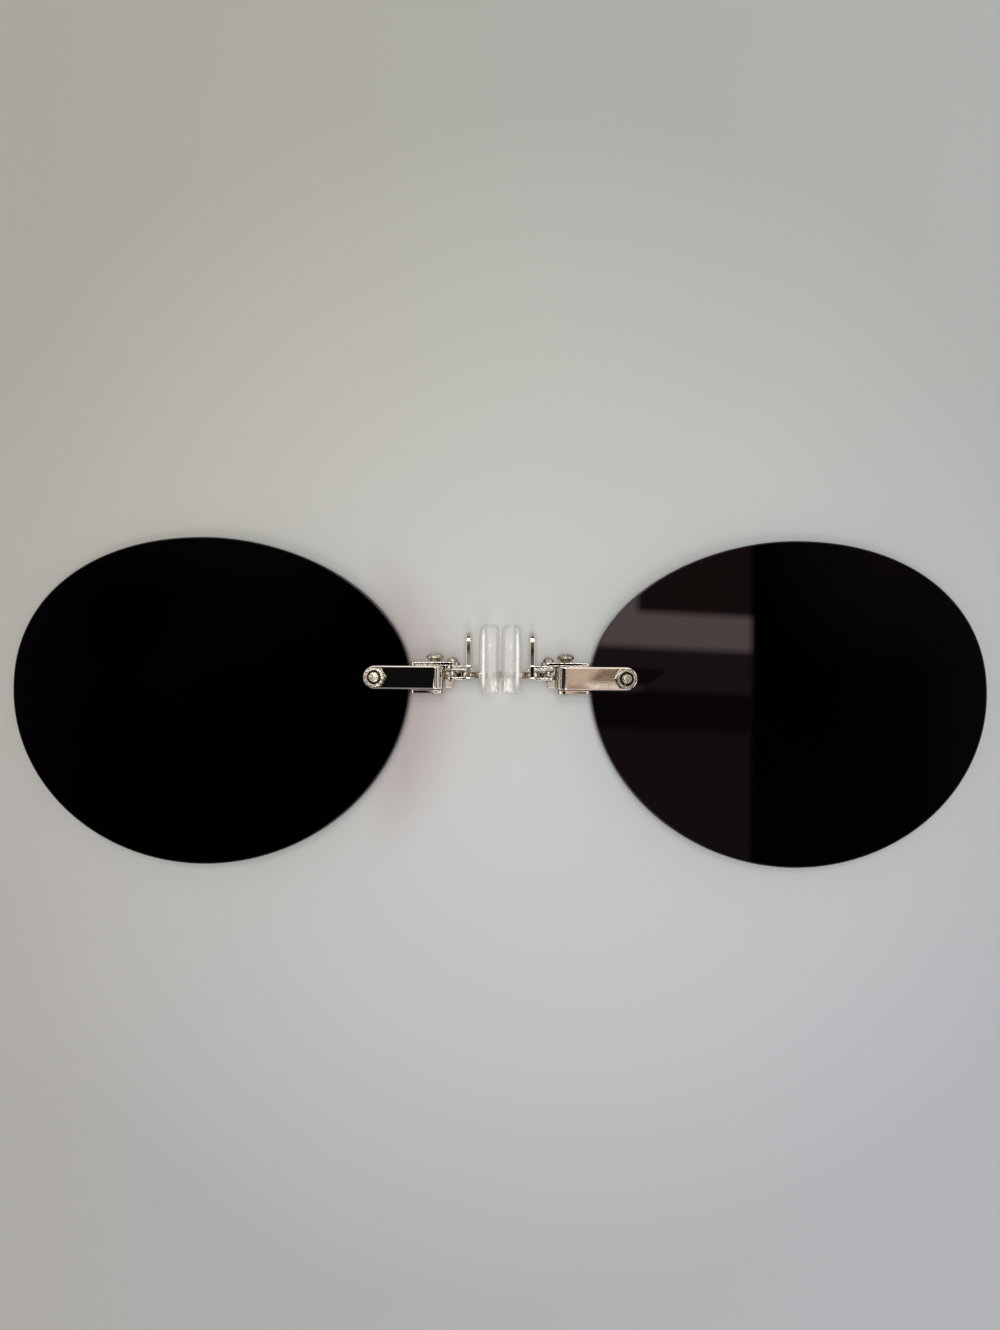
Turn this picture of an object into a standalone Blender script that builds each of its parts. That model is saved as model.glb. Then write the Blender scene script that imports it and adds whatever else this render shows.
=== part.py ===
# A pince-nez with two rimless dark lenses, seen lying on its front with the wearer's side up.
# Run it with: blender --background --python part.py
# Metres, +Z up. X runs across the lenses, Y is the wearer's up and Z points to the wearer.
# The origin is on the table, below the middle of the object's box.

from math import asin, atan2, cos, hypot, pi, radians, sin

import bmesh
import bpy
from mathutils import Matrix

mm = 0.001

# Lenses: an uneven oval made of four quarter curves that meet at its four outermost points
lens_width = 52.5 * mm
lens_height = 42.8 * mm
lens_thickness = 2.0 * mm
lens_edge_chamfer = 0.15 * mm
lens_top_shift = 0.8 * mm
lens_bottom_shift = 0.9 * mm
lens_temple_rise = 1.3 * mm
lens_nose_rise = 3.2 * mm
fullness_upper_temple = 2.18
fullness_upper_nose = 1.88
fullness_lower_nose = 1.97
fullness_lower_temple = 2.0
lens_hole_radius = 1.1 * mm
lens_hole_inset = 4.55 * mm
lens_edge_to_hinge = 3.2 * mm

# Lens mount: a strap that ends in a barrel on the fold hinge's screw
strap_height = 3.1 * mm
strap_thickness = 0.5 * mm
barrel_radius = 1.3 * mm
washer_thickness = 0.2 * mm
washer_radius = 1.45 * mm
lens_screw_radius = 0.7 * mm
lens_screw_head_radius = 1.15 * mm
lens_screw_head_height = 0.55 * mm
lens_screw_end = 0.3 * mm
nut_across_flats = 2.5 * mm
nut_thickness = 1.0 * mm
nut_chamfer = 0.18 * mm
bush_wall = 0.3 * mm

# Bridge: a bar that joins two hinge boxes
hinge_spacing = 17.0 * mm
pivot_spacing = 12.5 * mm
cheek_thickness = 0.42 * mm
cheek_depth = 1.0 * mm
cheek_corner = 0.4 * mm
bottom_cheek_overlap = 1.15 * mm
web_thickness = 0.5 * mm
web_drop = 1.42 * mm
web_reach = 0.1 * mm
web_end_drop = 1.3 * mm
web_end_corner = 0.25 * mm
pivot_boss_radius = 0.95 * mm
bar_height = 1.0 * mm
bar_low = -0.1 * mm
bar_thickness = 0.95 * mm
bar_drop = 1.15 * mm
bar_arch = 0.8 * mm

# Screws and pins of the hinges
hinge_screw_radius = 0.42 * mm
hinge_head_radius = 1.15 * mm
hinge_neck_radius = 0.6 * mm
hinge_flare_height = 0.5 * mm
hinge_dome_height = 0.6 * mm
hinge_end_height = 0.12 * mm
pivot_pin_radius = 0.35 * mm
pivot_head_radius = 0.72 * mm
pivot_head_height = 0.7 * mm
pivot_end_radius = 0.5 * mm
pivot_end_height = 0.3 * mm
slot_width = 0.25 * mm
slot_depth = 0.3 * mm

# Levers: a finger plate in front, two lugs on the pivot pin and a tail that carries the guard arm
finger_plate_spacing = 8.3 * mm
finger_plate_thickness = 0.55 * mm
finger_plate_low = 1.15 * mm
finger_plate_top = 5.9 * mm
finger_reach = 4.9 * mm
finger_plate_back = 0.9 * mm
finger_corner = 0.9 * mm
finger_notch_height = 4.9 * mm
finger_notch_radius = 0.2 * mm
lug_thickness = 0.36 * mm
lower_lug_thickness = 0.32 * mm
lower_lug_top = 0.07 * mm
lug_radius = 0.85 * mm
tail_back = 1.7 * mm
tail_stop_gap = 0.08 * mm

# Torsion spring on the pivot pin
spring_wire_radius = 0.1 * mm
spring_coil_radius = 0.72 * mm
spring_turns = 1
spring_leg_overshoot = 0.25 * mm

# Guard arms, guard plates and pads
arm_height = 1.0 * mm
arm_low = -0.1 * mm
arm_thickness = 0.45 * mm
arm_rivet_radius = 0.25 * mm
arm_rivet_head_radius = 0.45 * mm
arm_rivet_head_height = 0.4 * mm
arm_rivet_back = 1.15 * mm
guard_spacing = 3.9 * mm
guard_thickness = 0.4 * mm
guard_height = 7.9 * mm
guard_depth = 4.0 * mm
guard_corner = 1.2 * mm
guard_back = 5.0 * mm
guard_rise = 2.45 * mm
guard_splay = radians(6)
guard_rivet_radius = 0.22 * mm
guard_rivet_head_radius = 0.42 * mm
guard_rivet_head_height = 0.22 * mm
pad_height = 9.0 * mm
pad_depth = 5.6 * mm
pad_corner = 2.5 * mm
pad_cover = 1.52 * mm
pad_lip = 0.3 * mm
pad_edge_round = 0.45 * mm

# Clearances
axial_play = 0.03 * mm
running_fit = 0.04 * mm
seat_gap = 0.02 * mm
strap_play = 0.05 * mm
stop_gap = 0.05 * mm
pad_gap = 0.03 * mm

# Heights along Y from the hinge line, and depths along Z from the hinge axes
mount_y = lens_nose_rise
axis_z = finger_reach
strap_half = strap_height / 2
cheek_inner = strap_half + strap_play
cheek_outer = cheek_inner + cheek_thickness
upper_lug_top = cheek_inner - axial_play
upper_lug_low = upper_lug_top - lug_thickness
lower_lug_low = lower_lug_top - lower_lug_thickness
web_top = -web_drop
web_low = web_top - web_thickness
bar_top = -bar_drop
hinge_x = hinge_spacing / 2
pivot_x = pivot_spacing / 2
plate_x = finger_plate_spacing / 2
guard_x = guard_spacing / 2
strap_back = barrel_radius
strap_front = strap_back - strap_thickness
lens_back = strap_front - washer_thickness - 2 * seat_gap
lens_front = lens_back - lens_thickness
hole_x = lens_edge_to_hinge + lens_hole_inset
web_inner = pivot_x - web_reach
arm_middle = arm_low + arm_height / 2

# The fold hinges droop until the outer edge of each lens touches the table
lens_reach = lens_edge_to_hinge + lens_width - lens_edge_chamfer
droop = asin(axis_z / hypot(lens_reach, lens_front)) - atan2(-lens_front, lens_reach)

# The cheeks end where the inner edge of the drooping lens stops against them
cheek_reach = lens_edge_to_hinge * cos(droop) + lens_front * sin(droop) - stop_gap


def clear_scene():
    for obj in list(bpy.data.objects):
        bpy.data.objects.remove(obj, do_unlink=True)


def new_material(name, colour, metallic, roughness, transmission=0.0):
    material = bpy.data.materials.new(name)
    material.use_nodes = True
    shader = material.node_tree.nodes["Principled BSDF"]
    shader.inputs["Base Color"].default_value = (*colour, 1.0)
    shader.inputs["Metallic"].default_value = metallic
    shader.inputs["Roughness"].default_value = roughness
    shader.inputs["Transmission Weight"].default_value = transmission
    material.diffuse_color = (*colour, 1.0)
    return material


def add_empty(name, location, turn=0.0, parent=None):
    empty = bpy.data.objects.new(name, None)
    bpy.context.scene.collection.objects.link(empty)
    empty.empty_display_size = 2 * mm
    empty.location = location
    empty.rotation_euler = (0, turn, 0)
    empty.parent = parent
    return empty


def add_object(name, shape, parent, material, side=1, smooth=35):
    """Turns a bmesh drawn for the +X side into an object, mirrored for the other side."""
    if side < 0:
        bmesh.ops.scale(shape, vec=(-1, 1, 1), verts=shape.verts)
    bmesh.ops.recalc_face_normals(shape, faces=shape.faces)
    mesh = bpy.data.meshes.new(name)
    shape.to_mesh(mesh)
    shape.free()
    if material:
        mesh.materials.append(material)
    mesh.shade_smooth()
    mesh.set_sharp_from_angle(angle=radians(smooth))
    obj = bpy.data.objects.new(name, mesh)
    bpy.context.scene.collection.objects.link(obj)
    obj.parent = parent
    return obj


def apply_tool(target, operation, name, shape, side=1):
    """Joins, cuts or trims the target with a hidden wire shape in the same frame."""
    tool = add_object(name, shape, target.parent, None, side)
    tool.hide_render = True
    tool.display_type = "WIRE"
    modifier = target.modifiers.new(name, "BOOLEAN")
    modifier.operation = operation
    modifier.solver = "EXACT"
    modifier.object = tool
    return tool


def around(circles, steps=32):
    """The outline drawn tightly round circles given as (across, up, radius)."""
    points = set()
    for across, up, radius in circles:
        for step in range(steps):
            angle = 2 * pi * step / steps
            point = (across + radius * cos(angle), up + radius * sin(angle))
            points.add((round(point[0], 9), round(point[1], 9)))
    ordered = sorted(points)
    halves = []
    for line in (ordered, ordered[::-1]):
        half = []
        for point in line:
            while len(half) > 1 and turn_of(half[-2], half[-1], point) <= 1e-13:
                half.pop()
            half.append(point)
        halves.append(half[:-1])
    return halves[0] + halves[1]


def turn_of(first, second, third):
    ax, ay = second[0] - first[0], second[1] - first[1]
    bx, by = third[0] - second[0], third[1] - second[1]
    return ax * by - ay * bx


def rounded(corners, steps=5):
    """A polygon with each corner (across, up, radius) rounded by an arc."""
    points = []
    for index, (across, up, radius) in enumerate(corners):
        before = corners[index - 1]
        after = corners[(index + 1) % len(corners)]
        ax, ay = before[0] - across, before[1] - up
        bx, by = after[0] - across, after[1] - up
        a, b = hypot(ax, ay), hypot(bx, by)
        ax, ay, bx, by = ax / a, ay / a, bx / b, by / b
        half = atan2(abs(ax * by - ay * bx), ax * bx + ay * by) / 2
        if radius <= 0:
            points.append((across, up))
            continue
        mx, my = ax + bx, ay + by
        length = hypot(mx, my)
        cx = across + mx / length * radius / sin(half)
        cy = up + my / length * radius / sin(half)
        reach = radius * cos(half) / sin(half)
        start = atan2(up + ay * reach - cy, across + ax * reach - cx)
        end = atan2(up + by * reach - cy, across + bx * reach - cx)
        sweep = (end - start + pi) % (2 * pi) - pi
        for step in range(steps + 1):
            angle = start + sweep * step / steps
            points.append((cx + radius * cos(angle), cy + radius * sin(angle)))
    return points


def strip(path, thickness):
    """The outline of a flat strip of even thickness that follows a bent path."""
    left, right = [], []
    for index, (x, z) in enumerate(path):
        before = path[max(index - 1, 0)]
        after = path[min(index + 1, len(path) - 1)]
        first = atan2(z - before[1], x - before[0]) if index else None
        second = atan2(after[1] - z, after[0] - x) if index < len(path) - 1 else None
        first = second if first is None else first
        second = first if second is None else second
        bend = (second - first + pi) % (2 * pi) - pi
        angle = first + bend / 2
        half = thickness / 2 / cos(bend / 2)
        left.append((x - half * sin(angle), z + half * cos(angle)))
        right.append((x + half * sin(angle), z - half * cos(angle)))
    return left + right[::-1]


def on_axis(axis, level, across, up):
    """A point of an outline: (Y, Z) across X, (X, Z) across Y or (X, Y) across Z."""
    if axis == "X":
        return (level, across, up)
    if axis == "Y":
        return (across, level, up)
    return (across, up, level)


def stacked(axis, layers):
    """A closed shape through layers given as (level, outline), all with as many points."""
    shape = bmesh.new()
    rings = []
    for level, outline in layers:
        ring = [shape.verts.new(on_axis(axis, level, *point)) for point in outline]
        rings.append(ring)
    count = len(rings[0])
    for lower, upper in zip(rings, rings[1:]):
        for index in range(count):
            after = (index + 1) % count
            shape.faces.new((lower[index], lower[after], upper[after], upper[index]))
    shape.faces.new(rings[0][::-1])
    shape.faces.new(rings[-1])
    return shape


def extruded(axis, outline, low, high):
    """A flat outline pushed along an axis."""
    shape = bmesh.new()
    corners = [shape.verts.new(on_axis(axis, low, *point)) for point in outline]
    face = shape.faces.new(corners)
    grown = bmesh.ops.extrude_face_region(shape, geom=[face])["geom"]
    moved = [item for item in grown if isinstance(item, bmesh.types.BMVert)]
    bmesh.ops.translate(shape, verts=moved, vec=on_axis(axis, high - low, 0, 0))
    return shape


def turned(axis, profile, centre=(0, 0, 0), steps=24):
    """A profile of (radius, level) points spun about an axis; it starts and ends on the axis."""
    shape = bmesh.new()
    points = [shape.verts.new((radius, 0, level)) for radius, level in profile]
    edges = [shape.edges.new(pair) for pair in zip(points, points[1:])]
    spin_round(shape, points + edges, steps)
    return placed(shape, axis, centre)


def ring(axis, inner, outer, low, high, centre=(0, 0, 0), steps=24):
    """A washer or a sleeve."""
    shape = bmesh.new()
    corners = ((inner, low), (outer, low), (outer, high), (inner, high))
    points = [shape.verts.new((radius, 0, level)) for radius, level in corners]
    edges = [shape.edges.new((points[index - 1], points[index])) for index in range(4)]
    spin_round(shape, points + edges, steps)
    return placed(shape, axis, centre)


def spin_round(shape, geometry, steps):
    bmesh.ops.spin(
        shape,
        geom=geometry,
        cent=(0, 0, 0),
        axis=(0, 0, 1),
        angle=2 * pi,
        steps=steps,
        use_merge=True,
    )
    bmesh.ops.remove_doubles(shape, verts=shape.verts, dist=1e-8)


def placed(shape, axis, centre):
    if axis == "Y":
        bmesh.ops.rotate(shape, verts=shape.verts, matrix=Matrix.Rotation(-pi / 2, 3, "X"))
    if axis == "X":
        bmesh.ops.rotate(shape, verts=shape.verts, matrix=Matrix.Rotation(pi / 2, 3, "Y"))
    bmesh.ops.translate(shape, verts=shape.verts, vec=centre)
    return shape


def rod(axis, radius, low, high, centre=(0, 0, 0), steps=24):
    profile = [(0, low), (radius, low), (radius, high), (0, high)]
    return turned(axis, profile, centre, steps)


def block(x_low, x_high, y_low, y_high, z_low, z_high):
    corners = [(x_low, y_low), (x_high, y_low), (x_high, y_high), (x_low, y_high)]
    return extruded("Z", corners, z_low, z_high)


def dome(base_radius, base, height, points=5):
    """Profile points of a domed head from its rim at the base to its top on the axis."""
    found = []
    for step in range(points + 1):
        angle = pi / 2 * step / points
        found.append((base_radius * cos(angle), base + height * sin(angle)))
    found[-1] = (0, base + height)
    return found


def lens_outline(inset=0.0, quarter=18):
    """Points round the lens from its temple side, over the top, about the lens centre."""
    half_width = lens_width / 2
    half_height = lens_height / 2
    quarters = (
        (lens_top_shift, lens_temple_rise, 1, 1, fullness_upper_temple),
        (lens_top_shift, lens_nose_rise, -1, 1, fullness_upper_nose),
        (lens_bottom_shift, lens_nose_rise, -1, -1, fullness_lower_nose),
        (lens_bottom_shift, lens_temple_rise, 1, -1, fullness_lower_temple),
    )
    points = []
    for index, (x, y, right, up, fullness) in enumerate(quarters):
        across = half_width - right * x
        tall = half_height - up * y
        for step in range(quarter):
            angle = pi / 2 * (step / quarter if index % 2 == 0 else 1 - step / quarter)
            u = abs(cos(angle)) ** (2 / fullness) * across
            v = abs(sin(angle)) ** (2 / fullness) * tall
            points.append((x + right * u, y + up * v))
    shrink_x = 1 - inset / half_width
    shrink_y = 1 - inset / half_height
    return [(x * shrink_x, y * shrink_y) for x, y in points]


def make_lens(side, frame, material):
    centre_x = lens_edge_to_hinge + lens_width / 2
    layers = (
        (lens_front, lens_edge_chamfer),
        (lens_front + lens_edge_chamfer, 0.0),
        (lens_back - lens_edge_chamfer, 0.0),
        (lens_back, lens_edge_chamfer),
    )
    outlines = []
    for level, inset in layers:
        outline = [(centre_x + x, y - mount_y) for x, y in lens_outline(inset)]
        outlines.append((level, outline))
    lens = add_object(names[side] + "lens", stacked("Z", outlines), frame, material, side)
    hole = rod("Z", lens_hole_radius, lens_front - mm, lens_back + mm, (hole_x, 0, 0), 32)
    apply_tool(lens, "DIFFERENCE", names[side] + "lens_hole_tool", hole, side)


def make_lens_mount(side, frame, material):
    contact = asin(strap_front / barrel_radius)
    steps = 24
    outline = [(hole_x + 3 * mm, strap_back)]
    for step in range(steps + 1):
        angle = pi / 2 + (3 * pi / 2 + contact) * step / steps
        outline.append((barrel_radius * cos(angle), barrel_radius * sin(angle)))
    outline.append((hole_x + 3 * mm, strap_front))
    shape = extruded("Y", outline, -strap_half, strap_half)
    mount = add_object(names[side] + "lens_mount", shape, frame, material, side)
    bore = rod("Y", hinge_screw_radius + running_fit, -cheek_outer, cheek_outer)
    apply_tool(mount, "DIFFERENCE", names[side] + "barrel_bore_tool", bore, side)
    hole = rod("Z", lens_screw_radius + running_fit, 0, 2 * strap_back, (hole_x, 0, 0))
    apply_tool(mount, "DIFFERENCE", names[side] + "strap_hole_tool", hole, side)
    margin = strap_half + 0.4 * mm
    trim = [(-2 * barrel_radius, margin), (-2 * barrel_radius, -margin), (hole_x, -margin)]
    for step in range(25):
        angle = -pi / 2 + pi * step / 24
        trim.append((hole_x + strap_half * cos(angle), strap_half * sin(angle)))
    trim.append((hole_x, margin))
    end = extruded("Z", trim, -2 * barrel_radius, 2 * strap_back)
    apply_tool(mount, "INTERSECT", names[side] + "strap_end_tool", end, side)


def make_lens_screw(side, frame, metal):
    seat = lens_front - 2 * seat_gap - washer_thickness
    top = strap_back + seat_gap + nut_thickness + lens_screw_end
    tip = 0.12 * mm
    profile = [(0, seat - lens_screw_head_height)]
    rim = dome(lens_screw_head_radius, 0, lens_screw_head_height)
    profile = [(radius, seat - level) for radius, level in rim[::-1]]
    profile += [(lens_screw_radius, seat), (lens_screw_radius, top - tip)]
    profile += [(lens_screw_radius - tip, top), (0, top)]
    shape = turned("Z", profile, (hole_x, 0, 0))
    screw = add_object(names[side] + "lens_screw", shape, frame, metal, side)
    low = seat - lens_screw_head_height
    slot = block(
        hole_x - 2 * lens_screw_head_radius,
        hole_x + 2 * lens_screw_head_radius,
        -slot_width / 2,
        slot_width / 2,
        low - mm,
        low + slot_depth,
    )
    apply_tool(screw, "DIFFERENCE", names[side] + "lens_screw_slot_tool", slot, side)


def hexagon(across_flats):
    corner = across_flats / 2 / cos(pi / 6)
    turns = [pi / 6 + pi / 3 * index for index in range(6)]
    return [(hole_x + corner * cos(turn), corner * sin(turn)) for turn in turns]


def make_lens_nut(side, frame, metal):
    low = strap_back + seat_gap
    high = low + nut_thickness
    layers = (
        (low, hexagon(nut_across_flats - nut_chamfer)),
        (low + nut_chamfer / 2, hexagon(nut_across_flats)),
        (high - nut_chamfer, hexagon(nut_across_flats)),
        (high, hexagon(nut_across_flats - 2 * nut_chamfer)),
    )
    nut = add_object(names[side] + "lens_nut", stacked("Z", layers), frame, metal, side, 20)
    bore = rod("Z", lens_screw_radius + seat_gap, low - mm, high + mm, (hole_x, 0, 0))
    apply_tool(nut, "DIFFERENCE", names[side] + "nut_bore_tool", bore, side)


def make_lens_bush_and_washers(side, frame, clear):
    inner = lens_screw_radius + running_fit
    outer = inner + bush_wall
    centre = (hole_x, 0, 0)
    sleeve = ring("Z", inner, outer, lens_front, lens_back, centre)
    add_object(names[side] + "lens_bush", sleeve, frame, clear, side)
    low = lens_back + seat_gap
    back = ring("Z", inner, washer_radius, low, low + washer_thickness, centre)
    add_object(names[side] + "back_washer", back, frame, clear, side)
    high = lens_front - seat_gap
    front = ring("Z", inner, washer_radius, high - washer_thickness, high, centre)
    add_object(names[side] + "front_washer", front, frame, clear, side)


def hinge_box_outline(inner_circle, near):
    """A cheek seen along Y: round its inner circle, square with soft corners elsewhere."""
    far = hinge_x + cheek_reach - cheek_corner
    return around(
        [
            inner_circle,
            (far, cheek_depth - cheek_corner, cheek_corner),
            (far, web_low + cheek_corner, cheek_corner),
            (near + cheek_corner, web_low + cheek_corner, cheek_corner),
        ]
    )


def web_outline():
    """The web seen along Z: it joins both cheeks and is cut short below the pivot."""
    half = cheek_outer - cheek_thickness / 2
    far = hinge_x + cheek_reach - 0.12 * mm
    neck = hinge_x - bottom_cheek_overlap + cheek_corner
    return rounded(
        [
            (web_inner, half, 0),
            (web_inner, -web_end_drop, web_end_corner),
            (neck, -web_end_drop, 0),
            (neck, -half, 0),
            (far, -half, 0),
            (far, half, 0),
        ]
    )


def bar_middle(x):
    """Depth of the middle of the bridge bar, which sags to the front between the boxes."""
    return bar_top - bar_thickness / 2 - bar_arch * (1 - (x / pivot_x) ** 2)


def make_bridge(frame, metal):
    reach = web_inner + 1.0 * mm
    count = 24
    path = []
    for step in range(count + 1):
        x = reach * (2 * step / count - 1)
        path.append((x, bar_middle(min(abs(x), pivot_x))))
    shape = extruded("Y", strip(path, bar_thickness), bar_low, bar_low + bar_height)
    bridge = add_object("bridge", shape, frame, metal)
    for side in (1, -1):
        web = extruded("Z", web_outline(), web_low + 0.02 * mm, web_top)
        apply_tool(bridge, "UNION", names[side] + "web_tool", web, side)
        upper = hinge_box_outline((pivot_x, 0, pivot_boss_radius), web_inner)
        top = extruded("Y", upper, cheek_inner, cheek_outer)
        apply_tool(bridge, "UNION", names[side] + "top_cheek_tool", top, side)
        inner_end = hinge_x - bottom_cheek_overlap
        lower = hinge_box_outline((hinge_x, 0, bottom_cheek_overlap), inner_end)
        low = extruded("Y", lower, -cheek_outer, -cheek_inner)
        apply_tool(bridge, "UNION", names[side] + "bottom_cheek_tool", low, side)
        radius = hinge_screw_radius + running_fit
        bore = rod("Y", radius, -2 * cheek_outer, 2 * cheek_outer, (hinge_x, 0, 0))
        apply_tool(bridge, "DIFFERENCE", names[side] + "cheek_bore_tool", bore, side)
        radius = pivot_pin_radius + running_fit
        bore = rod("Y", radius, 0, 2 * cheek_outer, (pivot_x, 0, 0))
        apply_tool(bridge, "DIFFERENCE", names[side] + "pin_bore_tool", bore, side)
        centre = (pivot_x + spring_coil_radius, spring_low, 0)
        radius = spring_wire_radius + running_fit
        socket = rod("Z", radius, web_low - mm, web_top + mm, centre, 12)
        apply_tool(bridge, "DIFFERENCE", names[side] + "spring_socket_tool", socket, side)


def make_hinge_screw(side, frame, metal):
    """Its head flares out from a neck to a domed top."""
    under_head = cheek_outer + axial_play
    end = -cheek_outer - hinge_end_height
    chamfer = 0.1 * mm
    profile = [(0, end), (hinge_screw_radius - chamfer, end)]
    profile += [(hinge_screw_radius, end + chamfer), (hinge_screw_radius, under_head)]
    for step in range(5):
        share = step / 4
        radius = hinge_neck_radius + (hinge_head_radius - hinge_neck_radius) * share**2
        profile.append((radius, under_head + hinge_flare_height * share))
    rim = under_head + hinge_flare_height + 0.06 * mm
    profile += dome(hinge_head_radius, rim, hinge_dome_height)
    shape = turned("Y", profile, (hinge_x, 0, 0))
    screw = add_object(names[side] + "hinge_screw", shape, frame, metal, side)
    top = rim + hinge_dome_height
    slot = block(
        hinge_x - slot_width / 2,
        hinge_x + slot_width / 2,
        top - slot_depth,
        top + mm,
        -2 * hinge_head_radius,
        2 * hinge_head_radius,
    )
    apply_tool(screw, "DIFFERENCE", names[side] + "hinge_slot_tool", slot, side)


def make_pivot_pin(side, frame, metal):
    under_head = cheek_outer + axial_play
    under_end = lower_lug_low - axial_play
    end = dome(pivot_end_radius, 0, pivot_end_height, 3)
    profile = [(radius, under_end - level) for radius, level in end[::-1]]
    profile += [(pivot_pin_radius, under_end), (pivot_pin_radius, under_head)]
    profile += dome(pivot_head_radius, under_head, pivot_head_height, 4)
    shape = turned("Y", profile, (pivot_x, 0, 0), 20)
    add_object(names[side] + "pivot_pin", shape, frame, metal, side)


# The coil fills the space between the lever's lugs
spring_top = upper_lug_low - axial_play - spring_wire_radius
spring_low = lower_lug_top + axial_play + spring_wire_radius


def spring_points():
    """Path of the wire about the pivot axis: socket leg, coil, then the lever's leg."""
    radius = spring_coil_radius
    turns = spring_turns + 0.25
    per_turn = 10
    count = round(per_turn * turns)
    points = []
    socket = web_low + spring_wire_radius
    for step in range(3):
        points.append((radius, spring_low, socket * (1 - step / 3)))
    for step in range(count + 1):
        angle = 2 * pi * turns * step / count
        level = spring_low + (spring_top - spring_low) * step / count
        points.append((radius * cos(angle), level, radius * sin(angle)))
    end = plate_x - finger_plate_thickness / 2 - spring_leg_overshoot - pivot_x
    for step in range(1, 4):
        points.append((end * step / 3, spring_top, radius))
    return points


def least_gap(points, diameter):
    """Smallest clear distance from the wire to parts of itself further along than a half turn."""
    along = [0.0]
    for first, second in zip(points, points[1:]):
        along.append(along[-1] + hypot(*(b - a for a, b in zip(first, second))))
    apart = pi * spring_coil_radius
    least = 1.0
    for i, first in enumerate(points):
        for j, second in enumerate(points[:i]):
            if along[i] - along[j] > apart:
                least = min(least, hypot(*(b - a for a, b in zip(first, second))))
    return least - diameter


def make_spring(side, frame, steel):
    points = spring_points()
    curve = bpy.data.curves.new(names[side] + "spring", "CURVE")
    curve.dimensions = "3D"
    curve.bevel_depth = spring_wire_radius
    curve.bevel_resolution = 1
    curve.use_fill_caps = True
    curve.materials.append(steel)
    spline = curve.splines.new("POLY")
    spline.points.add(len(points) - 1)
    for point, (x, y, z) in zip(spline.points, points):
        point.co = (side * (pivot_x + x), y, z, 1)
    spring = bpy.data.objects.new(names[side] + "spring", curve)
    bpy.context.scene.collection.objects.link(spring)
    spring.parent = frame
    gap = least_gap(points, 2 * spring_wire_radius) / mm
    print(f"{spring.name}: least gap of the wire to itself {gap:.2f} mm")


def make_lever(side, frame, metal):
    """Drawn about the pivot axis: the finger plate and its tail are one upright sheet."""
    sheet_x = plate_x - pivot_x
    inner = sheet_x - finger_plate_thickness / 2
    outer = sheet_x + finger_plate_thickness / 2
    tail_front = bar_middle(plate_x) + bar_thickness / 2 + tail_stop_gap
    sheet = rounded(
        [
            (finger_plate_low, -finger_reach, 0.3 * mm),
            (finger_plate_top, -finger_reach, finger_corner),
            (finger_plate_top, finger_plate_back, finger_corner),
            (upper_lug_top, tail_back, 0.3 * mm),
            (lower_lug_low, tail_back, 0.3 * mm),
            (lower_lug_low, tail_front, 0.15 * mm),
            (finger_plate_low, tail_front, 0.1 * mm),
        ]
    )
    shape = extruded("X", sheet, inner, outer)
    lever = add_object(names[side] + "lever", shape, frame, metal, side)
    grip = 0.25 * mm
    for name, low, high in (
        ("upper_lug_tool", upper_lug_low, upper_lug_top),
        ("lower_lug_tool", lower_lug_low, lower_lug_top),
    ):
        outline = around(
            [
                (0, 0, lug_radius),
                (sheet_x, lug_radius - grip, grip),
                (sheet_x, -lug_radius + grip, grip),
            ]
        )
        lug = extruded("Y", outline, low, high)
        apply_tool(lever, "UNION", names[side] + name, lug, side)
    bore = rod("Y", pivot_pin_radius + running_fit, -2 * cheek_outer, 2 * cheek_outer)
    apply_tool(lever, "DIFFERENCE", names[side] + "lug_bore_tool", bore, side)
    centre = (sheet_x, spring_top, spring_coil_radius)
    radius = spring_wire_radius + running_fit
    eye = rod("X", radius, -mm, mm, centre, 12)
    apply_tool(lever, "DIFFERENCE", names[side] + "spring_eye_tool", eye, side)
    centre = (sheet_x, arm_middle, arm_rivet_back)
    hole = rod("X", arm_rivet_radius + seat_gap, -mm, mm, centre, 16)
    apply_tool(lever, "DIFFERENCE", names[side] + "rivet_hole_tool", hole, side)
    edge = sheet_edge_depth(finger_notch_height)
    notch = rod("X", finger_notch_radius, -mm, mm, (sheet_x, finger_notch_height, edge), 12)
    apply_tool(lever, "DIFFERENCE", names[side] + "notch_tool", notch, side)


def sheet_edge_depth(height):
    """Depth of the finger plate's back edge, which slopes from the tail to its top."""
    share = (height - upper_lug_top) / (finger_plate_top - upper_lug_top)
    return tail_back + (finger_plate_back - tail_back) * share


def arm_path():
    """Middle of the guard arm about the pivot axis: along the tail, then to the guard plate."""
    base_x = plate_x - pivot_x - finger_plate_thickness / 2 - seat_gap - arm_thickness / 2
    away = guard_thickness / 2 + seat_gap + arm_thickness / 2
    seat_x = guard_x - pivot_x + away * cos(guard_splay)
    seat_z = guard_back - away * sin(guard_splay)
    half = arm_height * 0.7
    back = (seat_x + half * sin(guard_splay), seat_z + half * cos(guard_splay))
    front = (seat_x - half * sin(guard_splay), seat_z - half * cos(guard_splay))
    bend = tail_back + 0.1 * mm
    return [
        (base_x, arm_rivet_back - arm_height / 2),
        (base_x, bend),
        (base_x * 0.75 + front[0] * 0.25, bend + 0.55 * mm),
        (base_x * 0.15 + front[0] * 0.85, front[1] - 0.5 * mm),
        front,
        back,
    ]


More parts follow.
